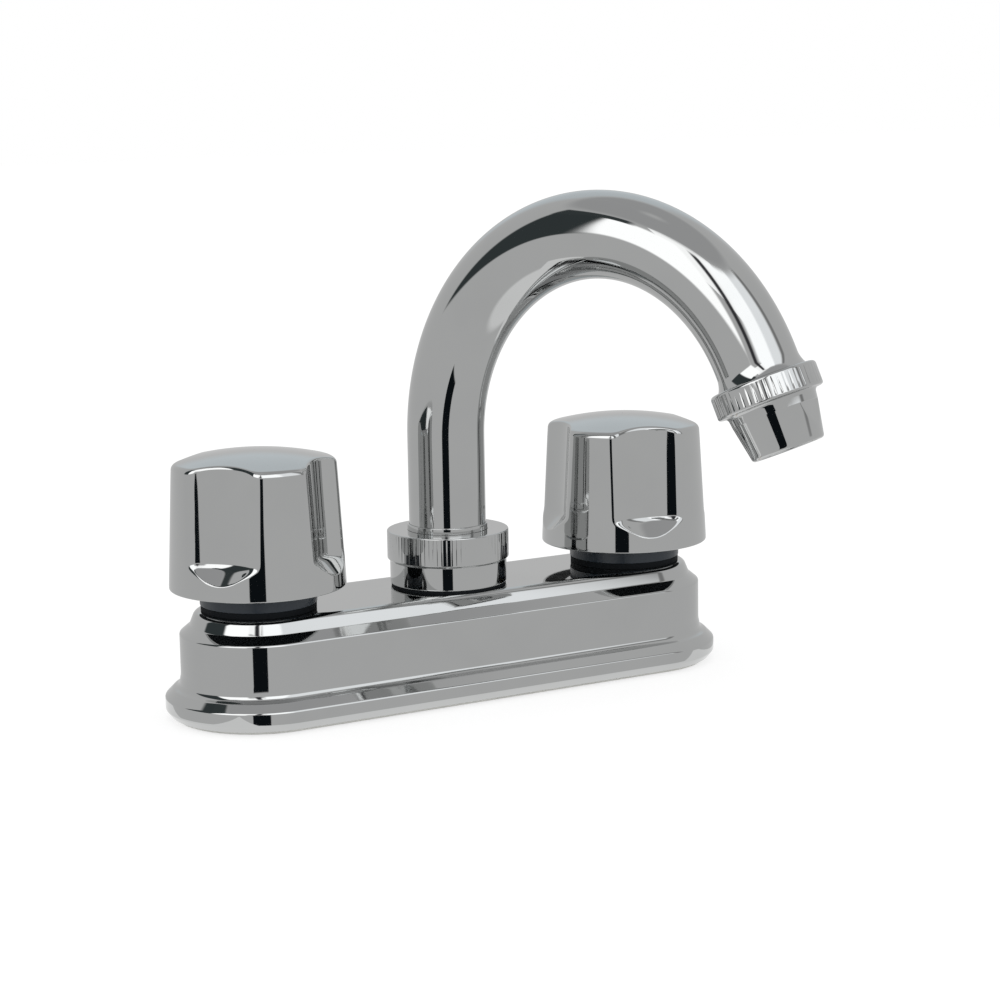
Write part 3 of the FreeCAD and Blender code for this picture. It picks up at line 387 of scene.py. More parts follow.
def placed(name: str, data: bpy.types.ID) -> bpy.types.Object:
    """Puts a new object into the scene, at the origin.

    Args:
        name: The object's name.
        data: Its mesh, curve, camera or light.

    Returns:
        The new object.
    """
    item = bpy.data.objects.new(name, data)
    bpy.context.scene.collection.objects.link(item)
    return item


def smoothed(mesh: bpy.types.Mesh) -> None:
    """Shades all of a mesh's faces smooth."""
    for face in mesh.polygons:
        face.use_smooth = True


def finished(name: str, mesh: bpy.types.Mesh) -> bpy.types.Object:
    """Cleans a closed mesh, turns its faces outwards, shades it smooth and puts it in the scene.

    Args:
        name: The piece's name.
        mesh: The mesh, with its place in its points.

    Returns:
        The new object, at the origin.
    """
    shell = bmesh.new()
    shell.from_mesh(mesh)
    bmesh.ops.remove_doubles(shell, verts=shell.verts, dist=MERGE_DISTANCE)
    bmesh.ops.dissolve_degenerate(shell, edges=shell.edges, dist=MERGE_DISTANCE)
    bmesh.ops.recalc_face_normals(shell, faces=shell.faces)
    shell.to_mesh(mesh)
    shell.free()
    smoothed(mesh)
    return placed(name, mesh)


def from_rings(name: str, rings: Sequence[Sequence[Vector]], wrap: bool) -> bpy.types.Object:
    """Makes a piece from rings of points.

    Args:
        name: The piece's name.
        rings: Rings with the same number of points each.
        wrap: Whether the last ring joins the first; otherwise a face closes each end.

    Returns:
        The new object.
    """
    columns = len(rings[0])
    faces: list[tuple[int, ...]] = list(quads(len(rings), columns, wrap))
    if not wrap:
        faces.append(tuple(range(columns)))
        faces.append(tuple((len(rings) - 1) * columns + j for j in range(columns)))
    mesh = bpy.data.meshes.new(name)
    mesh.from_pydata([point for ring in rings for point in ring], [], faces)
    return finished(name, mesh)


def around(columns: int) -> list[float]:
    """Evenly spread angles, once round."""
    return [math.tau * j / columns for j in range(columns)]


def turned(
    name: str, outline: Sequence[Point], x: float = 0.0, columns: int = 128, wrap: bool = True
) -> bpy.types.Object:
    """Turns a section once round an upright axis.

    Args:
        name: The piece's name.
        outline: Points of the section: distance from the axis and height.
        x: Where the axis stands.
        columns: Points round the axis.
        wrap: Whether the section is a closed loop clear of the axis.

    Returns:
        The new object.
    """
    ways = [(math.cos(angle), math.sin(angle)) for angle in around(columns)]
    rings = [[Vector((x + out * c, out * s, up)) for c, s in ways] for out, up in outline]
    return from_rings(name, rings, wrap)


class ShapeTree(NodeGroup):
    """A Geometry Nodes tree that makes the mesh of a piece."""

    def __init__(self, name: str) -> None:
        """Starts an empty tree with a name."""
        super().__init__(name, "GeometryNodeTree")

    def close(self, geometry: bpy.types.NodeSocket) -> None:
        """Realizes the instances of a geometry, sets their material and puts them out.

        Args:
            geometry: The geometry's socket.
        """
        real = self.add("GeometryNodeRealizeInstances", Geometry=geometry)
        finish = self.ask("Finish", "NodeSocketMaterial")
        dressed = self.add("GeometryNodeSetMaterial", Geometry=real.outputs[0], Material=finish)
        self.give("Geometry", dressed.outputs[0], "NodeSocketGeometry")

    def run(self, name: str, source: bpy.types.Object, values: dict[str, object]) -> bpy.types.Object:
        """Runs the tree on an object and keeps the result as a plain mesh.

        Args:
            name: The new piece's name.
            source: The object that carries the tree; it is removed afterwards.
            values: The tree's inputs by name.

        Returns:
            The new piece.
        """
        modifier = source.modifiers.new(name, "NODES")
        modifier.node_group = self.tree
        for item in self.tree.interface.items_tree:
            if item.item_type == "SOCKET" and item.in_out == "INPUT" and item.name in values:
                modifier[item.identifier] = values[item.name]
        source.update_tag()
        graph = bpy.context.evaluated_depsgraph_get()
        graph.update()
        mesh = bpy.data.meshes.new_from_object(source.evaluated_get(graph))
        bpy.data.objects.remove(source)
        return placed(name, mesh)


def blank_source(name: str) -> bpy.types.Object:
    """An empty mesh object for a tree that makes its own geometry."""
    return placed(name + "_source", bpy.data.meshes.new(name + "_source"))


class Workshop:
    """The materials and node trees that all the tap's pieces use."""

    def __init__(self) -> None:
        """Builds every finish and every tree once."""
        groups = MarkGroups()
        self.materials = {finish.slot: finish.build(groups) for finish in FINISHES}
        self.knurl = self._knurl_tree()
        self.thread = self._thread_tree()
        self.tube = self._tube_tree()

    @staticmethod
    def _knurl_tree() -> ShapeTree:
        """Upright grooves that a turned piece gets all round a band of its outside.

        Returns:
            The tree, with the sizes that its calls name as inputs.
        """
        tree = ShapeTree("knurl_grooves")
        blank = tree.ask("Blank", "NodeSocketGeometry")
        count = tree.ask("Count")
        least = tree.ask("Least Radius")
        low = tree.ask("Low")
        high = tree.ask("High")
        depth = tree.ask("Depth")
        share = tree.ask("Share")
        place = tree.add("GeometryNodeInputPosition")
        axes = tree.add("ShaderNodeSeparateXYZ", Vector=place.outputs[0])
        flat = tree.add("ShaderNodeCombineXYZ", X=axes.outputs["X"], Y=axes.outputs["Y"])
        length = tree.add("ShaderNodeVectorMath", operation="LENGTH", Vector=flat.outputs[0])
        turns = tree.math("DIVIDE", tree.math("ARCTAN2", axes.outputs["Y"], axes.outputs["X"]), math.tau)
        away = tree.math("PINGPONG", tree.math("MULTIPLY", turns, count), 0.5)
        slope = tree.math("MAXIMUM", tree.math("SUBTRACT", 1.0, tree.math("DIVIDE", away, share)), 0.0)
        outside = tree.math("GREATER_THAN", length.outputs["Value"], least)
        inside = tree.math("MULTIPLY", tree.math("GREATER_THAN", axes.outputs["Z"], low),
                           tree.math("LESS_THAN", axes.outputs["Z"], high))
        wedge = tree.math("MULTIPLY", slope, outside)
        cut = tree.math("MULTIPLY", wedge, tree.math("MULTIPLY", inside, depth))
        inward = tree.math("DIVIDE", tree.math("MULTIPLY", cut, -1.0), length.outputs["Value"])
        offset = tree.add("ShaderNodeVectorMath", operation="SCALE", Vector=flat.outputs[0], Scale=inward)
        carved = tree.add("GeometryNodeSetPosition", Geometry=blank, Offset=offset.outputs[0])
        tree.close(carved.outputs[0])
        return tree

    @staticmethod
    def _thread_tree() -> ShapeTree:
        """A rounded screw thread: one ridge that climbs round an upright axis.

        Returns:
            The tree, with the sizes that its calls name as inputs.
        """
        tree = ShapeTree("screw_thread")
        turns = tree.ask("Turns")
        radius = tree.ask("Radius")
        rise = tree.ask("Rise")
        foot = tree.ask("Foot")
        along = tree.ask("Along")
        ridge = tree.ask("Ridge")
        turn_points, ridge_sides = 72, 10
        helix = tree.add("GeometryNodeCurveSpiral", Resolution=turn_points, Rotations=turns,
                         Start_Radius=radius, End_Radius=radius, Height=rise)
        profile = tree.add("GeometryNodeCurvePrimitiveCircle", Resolution=ridge_sides, Radius=ridge)
        mesh = tree.add("GeometryNodeCurveToMesh", Curve=helix.outputs[0], Profile_Curve=profile.outputs[0],
                        Fill_Caps=True)
        shift = tree.add("ShaderNodeCombineXYZ", X=along, Z=foot)
        moved = tree.add("GeometryNodeTransform", Geometry=mesh.outputs[0], Translation=shift.outputs[0])
        tree.close(moved.outputs[0])
        return tree

    @staticmethod
    def _tube_tree() -> ShapeTree:
        """A tube along a path, as wide at each point as the path's own radius.

        Returns:
            The tree, with the sizes that its calls name as inputs.
        """
        tree = ShapeTree("tube_along_path")
        path = tree.ask("Path", "NodeSocketGeometry")
        sides = tree.ask("Sides", "NodeSocketInt")
        radius = tree.add("GeometryNodeInputRadius")
        profile = tree.add("GeometryNodeCurvePrimitiveCircle", Resolution=sides, Radius=1.0)
        mesh = tree.add("GeometryNodeCurveToMesh", Curve=path, Profile_Curve=profile.outputs[0],
                        Scale=radius.outputs[0])
        smooth = tree.add("GeometryNodeSetShadeSmooth", Geometry=mesh.outputs[0])
        tree.close(smooth.outputs[0])
        return tree

    def dress(
        self, piece: bpy.types.Object, slot: Slot, body: str, replaces: Sequence[str] = ()
    ) -> bpy.types.Object:
        """Gives a piece its material, its body and the CAD nodes that it stands for.

        Args:
            piece: The finished piece.
            slot: The material slot that it takes its finish from.
            body: The CAD body that it rides on.
            replaces: CAD nodes that it replaces.

        Returns:
            The same piece.
        """
        piece.data.materials.clear()
        piece.data.materials.append(self.materials[slot])
        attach(piece, body)
        if replaces:
            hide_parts(*replaces)
        log.info("%s: %d faces, rides on %s", piece.name, len(piece.data.polygons), body)
        return piece


@dataclass
class BaseCover:
    """The chromed shell: flange, cove, flat band, shoulder and flat top, with round ends."""

    side: float
    foot: float
    flange: float = 22.5 * MM
    flange_bevel: float = 1.2 * MM
    flange_low: float = 2.4 * MM
    flange_high: float = 5.3 * MM
    flange_slope: float = 1.9 * MM
    cove_run: float = 0.475 * MM
    cove_rise: float = 2.565 * MM
    band: float = 18.7 * MM
    band_low: float = 9.6 * MM
    band_high: float = 20.1 * MM
    ledge_run: float = 2.4 * MM
    ledge_rise: float = 2.0 * MM
    shoulder_angle: float = math.radians(22.0)
    plateau: float = 25.3 * MM
    plateau_round: float = 1.8 * MM
    cove_round: float = 3.2 * MM
    ledge_round: float = 0.7 * MM
    crease_round: float = 0.5 * MM
    edge_round: float = 0.8 * MM
    wall: float = 2.2 * MM
    ceiling_wall: float = 2.86 * MM
    ceiling_bend: float = 3.3 * MM
    neck_hole: float = 11.25 * MM
    hub_hole: float = 12.3 * MM
    hole_guard: float = 0.1 * MM
    side_guard: float = 0.25 * MM
    end_steps: int = 60
    hole_steps: int = 72

    def build(self, shop: Workshop) -> None:
        """Makes and dresses the cover.

        Args:
            shop: The shared materials.
        """
        shell = bmesh.new()
        outer = [self._ring(shell, out, up) for out, up in rounded(self._outside(), closed=False)]
        inner = [self._ring(shell, out, up) for out, up in rounded(self._inside(), closed=False)]
        rings = outer[::-1] + inner
        for first, second in zip(rings, rings[1:]):
            self._band(shell, first, second)
        self._holed_face(shell, outer[-1], inner[-1])
        mesh = bpy.data.meshes.new("base_cover_shell")
        shell.to_mesh(mesh)
        shell.free()
        piece = finished("base_cover_shell", mesh)
        shop.dress(piece, Slot.CHROME, "base", ["base_cover"])

    def _outside(self) -> list[Corner]:
        """Corners of the outer section, from the foot up to the flat top.

        Returns:
            The corners in order.
        """
        ledge = self.band - self.ledge_run
        ledge_level = self.band_high + self.ledge_rise
        shoulder = ledge - (self.plateau - ledge_level) * math.tan(self.shoulder_angle)
        return [
            Corner(self.flange - self.flange_bevel - self.wall / 2, self.foot),
            Corner(self.flange - self.flange_bevel, self.foot, self.edge_round / 2),
            Corner(self.flange, self.flange_low, self.edge_round),
            Corner(self.flange, self.flange_high, self.edge_round),
            Corner(self.flange - self.flange_slope, self.flange_high + self.flange_slope, self.edge_round),
            Corner(self.band + self.cove_run, self.flange_high + self.cove_rise, self.cove_round),
            Corner(self.band, self.band_low + self.edge_round, self.cove_round),
            Corner(self.band, self.band_high, self.ledge_round),
            Corner(ledge, ledge_level, self.crease_round),
            Corner(shoulder, self.plateau, self.plateau_round),
            Corner(self.hub_hole + self.wall / 8, self.plateau),
        ]

    def _inside(self) -> list[Corner]:
        """Corners of the hollow's section, from the foot up to the ceiling.

        Returns:
            The corners in order.
        """
        top = self.band - self.ledge_run - self.ceiling_wall
        return [
            Corner(self.flange - self.flange_bevel - self.wall / 2, self.foot),
            Corner(self.flange - self.flange_bevel - self.wall, self.foot),
            Corner(self.flange - self.flange_bevel - self.wall, self.flange_high - self.wall / 2),
            Corner(self.band - self.wall, self.band_low - self.wall / 2),
            Corner(self.band - self.wall, self.band_high - self.wall / 2),
            Corner(top, self.plateau - self.ceiling_bend),
            Corner(top, self.plateau - self.wall),
            Corner(self.hub_hole + self.wall / 4, self.plateau - self.wall),
        ]

    def _ring(self, shell: bmesh.types.BMesh, out: float, up: float) -> list[bmesh.types.BMVert]:
        """A closed ring with two straight sides and two round ends.

        Args:
            shell: The mesh that gets the points.
            out: Half width of the ring.
            up: Its height.

        Returns:
            The ring's points in order.
        """
        points = []
        for sign, centre in ((1, self.side), (-1, -self.side)):
            points.append((centre - sign * self.side_guard, -sign * out))
            for k in range(self.end_steps + 1):
                angle = math.pi * (k / self.end_steps - 0.5)
                points.append((centre + sign * out * math.cos(angle), sign * out * math.sin(angle)))
            points.append((centre - sign * self.side_guard, sign * out))
        return [shell.verts.new((x, y, up)) for x, y in points]

    @staticmethod
    def _band(
        shell: bmesh.types.BMesh, first: list[bmesh.types.BMVert], second: list[bmesh.types.BMVert]
    ) -> None:
        """Joins two rings by quads.

        Args:
            shell: The mesh.
            first: Points of one ring.
            second: Points of the other, as many.
        """
        for j, corner in enumerate(first):
            k = (j + 1) % len(first)
            shell.faces.new((corner, first[k], second[k], second[j]))

    def _circle(
        self, shell: bmesh.types.BMesh, x: float, radius: float, up: float
    ) -> list[bmesh.types.BMVert]:
        """A ring of points round one of the holes."""
        angles = around(self.hole_steps)
        return [shell.verts.new((x + radius * math.cos(a), radius * math.sin(a), up)) for a in angles]

    def _holed_face(
        self, shell: bmesh.types.BMesh, top: list[bmesh.types.BMVert], ceiling: list[bmesh.types.BMVert]
    ) -> None:
        """Fills the flat top and the ceiling below it round the three holes, and lines the holes.

        Args:
            shell: The mesh.
            top: The ring that bounds the flat top.
            ceiling: The ring that bounds the ceiling.
        """
        levels = (self.plateau, self.plateau - self.wall)
        lips = [[], []]
        for x, radius in ((-self.side, self.neck_hole), (0.0, self.hub_hole), (self.side, self.neck_hole)):
            rims = [self._circle(shell, x, radius, level) for level in levels]
            guards = [self._circle(shell, x, radius + self.hole_guard, level) for level in levels]
            self._band(shell, *rims)
            for lip, rim, guard in zip(lips, rims, guards):
                self._band(shell, rim, guard)
                lip.append(guard)
        for ring, circles in zip((top, ceiling), lips):
            edges = []
            for loop in (ring, *circles):
                for j, corner in enumerate(loop):
                    after = loop[(j + 1) % len(loop)]
                    edges.append(shell.edges.get((corner, after)) or shell.edges.new((corner, after)))
            bmesh.ops.triangle_fill(shell, use_beauty=True, use_dissolve=False, edges=edges)


def eased_least(a: float, b: float, width: float) -> float:
    """The smaller of two numbers, rounded off where they are within a width of each other."""
    share = max(0.0, min(1.0, 0.5 + 0.5 * (b - a) / width))
    return b + (a - b) * share - width * share * (1 - share)


def smooth_share(share: float) -> float:
    """Eases a share from 0 to 1 at both ends."""
    share = max(0.0, min(1.0, share))
    return share * share * (3 - 2 * share)


# Directions of the photographed knobs' first scoop.
HOT_KNOB_TURN = math.radians(-50.1 - 90.0)
COLD_KNOB_TURN = math.radians(-12.5 - 90.0)

# A knob's columns: from one angle to another from a scoop's middle, in degrees, and the step between them.
# They stand closest together at the scoops' edges.
COLUMN_STEPS = ((0.0, 10.0, 1.4), (10.0, 40.0, 0.6), (40.0, 45.0, 1.6))


@dataclass
class Knob:
    """A tapered knob with a domed top and four scooped grips."""

    side: Side
    x: float
    bottom: float
    top: float
    turn: float
    radius: float = 20.65 * MM
    top_radius: float = 19.3 * MM
    rim: float = 60.5 * MM
    rim_round: float = 1.7 * MM
    rim_steps: int = 9
    rim_guard: float = 0.15 * MM
    dome_rows: int = 14
    grip_round: float = 1.0 * MM
    foot_round: float = 0.9 * MM
    foot_end: float = 0.945 * MM
    wall_start: float = 0.99 * MM
    wall_end: float = 4.08 * MM
    scoop_radius: float = 17.9 * MM
    scoop_lean: float = 1.4 * MM
    scoop_height: float = 25.5 * MM
    scoop_offset: float = 32.9 * MM
    scoop_floor: float = 38.2 * MM
    scoop_over: float = 1.0 * MM
    pocket_drop: float = 5.4 * MM
    pocket_rise: float = 1.4 * MM
    floor_slope: float = 0.95
    floor_blend: float = 0.35 * MM
    edge_round: float = 3.2 * MM
    lip_round: float = 0.8 * MM
    lip_depth: float = 0.8 * MM
    full_depth: float = 3.6 * MM
    # A black rubber ring under the foot: painted shade of the knob's underside, which reflections show.
    shade_liner: float = 0.3 * MM
    shade_liner_radius: float = 20.05 * MM
    shade_liner_bore: float = 15.0 * MM
    shade_liner_round: float = 0.1 * MM
    cavity: float = 12.5 * MM
    cavity_top: float = 59.3 * MM
    cavity_round: float = 0.8 * MM
    mouth_round: float = 0.3 * MM
    pole: float = 0.01 * MM
    scoops: int = 4
    angles: list[float] = field(init=False)

    def __post_init__(self) -> None:
        """Works out the angles of the mesh's columns, counted from a scoop's middle."""
        pitch = 360.0 / self.scoops
        half: list[float] = []
        for start, stop, step in COLUMN_STEPS:
            count = round((stop - start) / step)
            half += [start + (stop - start) * k / count for k in range(count)]
        one = [-pitch / 2] + [-a for a in reversed(half) if a > 0] + half
        self.angles = [math.radians(a + pitch * k) for k in range(self.scoops) for a in one]

    def build(self, shop: Workshop) -> None:
        """Makes and dresses the knob, with a black rubber ring under its foot as painted shade of its
        underside.

        Args:
            shop: The shared materials.
        """
        word = self.side.value
        rings = self._under() + self._wall() + self._rounded_top()
        piece = from_rings(f"{word}_knob_shell", rings, wrap=False)
        shop.dress(piece, Slot.CHROME, f"{word}_knob", [f"{word}_handle"])
        # Painted shade: a black ring under the foot darkens the knob's underside where reflections show it.
        shade_liner = turned(f"{word}_knob_shade_liner", rounded([
            Corner(self.shade_liner_bore + PLAY, self.bottom + PLAY),
            Corner(self.shade_liner_radius - PLAY, self.bottom + PLAY),
            Corner(self.shade_liner_radius - PLAY, self.bottom + self.shade_liner - PLAY),
            Corner(self.shade_liner_bore + PLAY, self.bottom + self.shade_liner - PLAY),
        ]), self.x)
        shop.dress(shade_liner, Slot.RUBBER, f"{word}_knob")

    def _side_radius(self, up: float) -> float:
        """Radius of the plain tapered side at a height."""
        low = self.bottom + self.foot_round
        high = self.rim - self.rim_round
        return self.radius + (self.top_radius - self.radius) * (up - low) / (high - low)

    def _scooped(self, angle: float, up: float) -> float:
        """Radius of the knob's side in one direction at one height.

        Args:
            angle: Direction from the knob's axis, counted from a scoop's middle.
            up: Height.

        Returns:
            The radius; an arc that touches both surfaces rounds off the scoop's upright edges.
        """
        plain = self._side_radius(up)
        quarter = math.tau / self.scoops
        off = (angle + quarter / 2) % quarter - quarter / 2
        drop = (self.scoop_floor - up) / self.floor_slope / self.floor_blend
        far_below = 30  # Here the rounding of the floor's edge has long ended.
        sunk = self.floor_blend * (drop if drop > far_below else math.log1p(math.exp(drop)))
        lean = self.scoop_lean * (self.top + self.scoop_over - max(up, self.scoop_floor)) / self.scoop_height
        cutter = self.scoop_radius - lean - sunk
        depth = plain + cutter - self.scoop_offset
        if depth <= 0.0:
            return plain
        share = smooth_share((depth - self.lip_depth) / (self.full_depth - self.lip_depth))
        arc = self.lip_round + (self.edge_round - self.lip_round) * share
        inner, outer, apart = plain - arc, cutter + arc, self.scoop_offset
        middle = math.acos(min(1.0, (inner * inner + apart * apart - outer * outer) / (2 * inner * apart)))
        if abs(off) >= middle:
            return plain
        pull = cutter / outer
        touch = math.atan2(inner * math.sin(middle) * pull, apart + (inner * math.cos(middle) - apart) * pull)
        if abs(off) >= touch:
            swing = abs(off) - middle
            return inner * math.cos(swing) + math.sqrt(arc * arc - (inner * math.sin(swing)) ** 2)
        across = apart * math.sin(off)
        return apart * math.cos(off) - math.sqrt(cutter * cutter - across * across)

    def _point(self, angle: float, out: float, up: float) -> Vector:
        """A point of the mesh, turned as the photographed knob is."""
        way = angle + self.turn
        return Vector((self.x + out * math.cos(way), out * math.sin(way), up))

    def _under(self) -> list[list[Vector]]:
        """Rings of the cavity, the recess of the painted-shade ring and the bottom edge.

        Returns:
            The rings, from the cavity's ceiling to the foot's edge.
        """
        corners = [
            Corner(0.0, self.cavity_top),
            Corner(self.cavity, self.cavity_top, self.cavity_round),
            Corner(self.cavity, self.bottom, self.mouth_round),
            # The next four corners are the recess of the black ring that paints the shade under the knob.
            Corner(self.shade_liner_bore, self.bottom, self.shade_liner_round),
            Corner(self.shade_liner_bore, self.bottom + self.shade_liner, self.shade_liner_round),
            Corner(self.shade_liner_radius, self.bottom + self.shade_liner, self.shade_liner_round),
            Corner(self.shade_liner_radius, self.bottom, self.shade_liner_round),
            Corner(self.radius, self.bottom, self.foot_round),
            Corner(self.radius, self.bottom + self.foot_end),
        ]
        outline = rounded(corners, closed=False)[1:-1]
        outline[0] = (self.cavity / 4, self.cavity_top)
        return [[self._point(angle, out, up) for angle in self.angles] for out, up in outline]

    def _wall(self) -> list[list[Vector]]:
        """Rings of the scooped side.

        Returns:
            The rings, upwards.
        """
        low, high = self.bottom + self.wall_start, self.rim - self.wall_end
        pocket_low, pocket_high = self.scoop_floor - self.pocket_drop, self.scoop_floor + self.pocket_rise
        skirt_step, pocket_step, grip_step = 0.5 * MM, 0.17 * MM, 2.4 * MM
        spans = (
            (low, pocket_low, skirt_step),
            (pocket_low, pocket_high, pocket_step),
            (pocket_high, high, grip_step),
        )
        levels: list[float] = []
        for start, end, step in spans:
            count = max(1, round((end - start) / step))
            levels += [start + (end - start) * k / count for k in range(count)]
        levels.append(high)
        return [[self._point(angle, self._scooped(angle, up), up) for angle in self.angles] for up in levels]

    def _rounded_top(self) -> list[list[Vector]]:
        """Rings of the rounded top edge and the dome.

        Returns:
            The rings, from the side to the pole.
        """
        rise = self.top - self.rim
        run = self.top_radius - self.rim_round
        dome = (run * run + rise * rise) / 2 / rise
        deepest = self.scoop_offset - self.scoop_radius
        below = 2 * self.rim_round

        def dome_height(out: float) -> float:
            """Height of the dome at a distance from the axis."""
            return self.top - dome + math.sqrt(dome * dome - out * out)

        columns: list[list[Point]] = []
        for angle in self.angles:
            out = self._scooped(angle, self.rim)
            arrive = Vector((out - self._scooped(angle, self.rim - below), below)).normalized()
            slope = math.asin(out / dome)
            leave = Vector((-math.cos(slope), math.sin(slope)))
            share = (out - deepest) / (self.top_radius - deepest)
            radius = self.grip_round + (self.rim_round - self.grip_round) * smooth_share(share) ** 2
            column = arc_points(Vector((out, dome_height(out))), arrive, leave, radius, self.rim_steps)
            start = column[-1][0] - self.rim_guard
            for k in range(self.dome_rows):
                inner = start * (1 - k / self.dome_rows)
                column.append((inner, dome_height(inner)))
            columns.append(column)
        rings = [
            [self._point(angle, *column[k]) for angle, column in zip(self.angles, columns)]
            for k in range(len(columns[0]))
        ]
        centre = Vector((self.x, 0.0, self.top))
        rings.append([centre + Vector((math.cos(a), math.sin(a), 0.0)) * self.pole for a in self.angles])
        return rings


@dataclass
class Collar:
    """The dark threaded collar that clamps the cover under a knob."""

    side: Side
    x: float
    low: float
    high: float
    radius: float = 13.7 * MM
    bore: float = 11.05 * MM
    # A black band at the foot: painted shade in the gap between the collar and the cover.
    shade_band_height: float = 1.5 * MM
    shade_band_step: float = 0.15 * MM
    lip: float = 0.55 * MM
    lip_round: float = 0.3 * MM

    def build(self, shop: Workshop) -> None:
        """Makes and dresses the collar, with a black rubber band at its foot as painted shade in the gap over
        the cover.

        Args:
            shop: The shared materials.
        """
        word = self.side.value
        shade_band_top = self.low + self.shade_band_height
        piece = turned(f"{word}_collar_ring", rounded([
            Corner(self.bore, shade_band_top),
            Corner(self.radius, shade_band_top),
            Corner(self.radius, self.high - self.lip, self.lip_round),
            Corner(self.radius - self.lip, self.high, self.lip_round),
            Corner(self.bore, self.high),
        ]), self.x)
        shop.dress(piece, Slot.DARK_PLASTIC, "base", [f"{word}_collar"])
        # Painted shade: a black rubber band at the collar's foot stands for the shadow gap over the cover.
        shade_band = turned(f"{word}_collar_shade_band", rounded([
            Corner(self.bore, self.low),
            Corner(self.radius - self.shade_band_step, self.low),
            Corner(self.radius - self.shade_band_step, shade_band_top - PLAY),
            Corner(self.bore, shade_band_top - PLAY),
        ]), self.x)
        shop.dress(shade_band, Slot.RUBBER, "base")


@dataclass
class SpoutNut:
    """The union nut that holds the spout: a smooth skirt below a band of upright grooves."""

    foot: float
    top: float
    radius: float = 14.75 * MM
    skirt: float = 14.15 * MM
    band_height: float = 6.8 * MM
    bore: float = 12.1 * MM
    eye: float = 9.6 * MM
    lip: float = 2.0 * MM
    rib_count: int = 84
    rib_columns: int = 12
    groove_depth: float = 0.11 * MM
    groove_share: float = 0.1
    edge: float = 0.35 * MM
    bevel: float = 0.5 * MM
    bevel_round: float = 0.2 * MM
    eye_round: float = 0.25 * MM
    fine_round: float = 0.3 * MM

    def build(self, shop: Workshop) -> None:
        """Makes and dresses the nut.

        Args:
            shop: The shared materials and trees.
        """
        band_low = self.top - self.band_height
        outline = rounded([
            Corner(self.bore, self.foot),
            Corner(self.skirt, self.foot, self.fine_round),
            Corner(self.skirt, band_low - self.bevel, self.bevel_round),
            Corner(self.radius, band_low, self.fine_round),
            Corner(self.radius, self.top, self.edge),
            Corner(self.eye, self.top, self.eye_round),
            Corner(self.eye, self.top - self.lip),
            Corner(self.bore, self.top - self.lip),
        ])
        blank = turned("spout_nut_blank", outline, columns=self.rib_count * self.rib_columns)
        body = shop.knurl.run("spout_nut_body", blank, {
            "Count": float(self.rib_count),
            "Least Radius": self.radius - self.groove_depth / 2,
            "Low": band_low + self.edge,
            "High": self.top - self.edge,
            "Depth": self.groove_depth,
            "Share": self.groove_share,
            "Finish": shop.materials[Slot.CHROME],
        })
        shop.dress(body, Slot.CHROME, "base", ["spout_nut"])


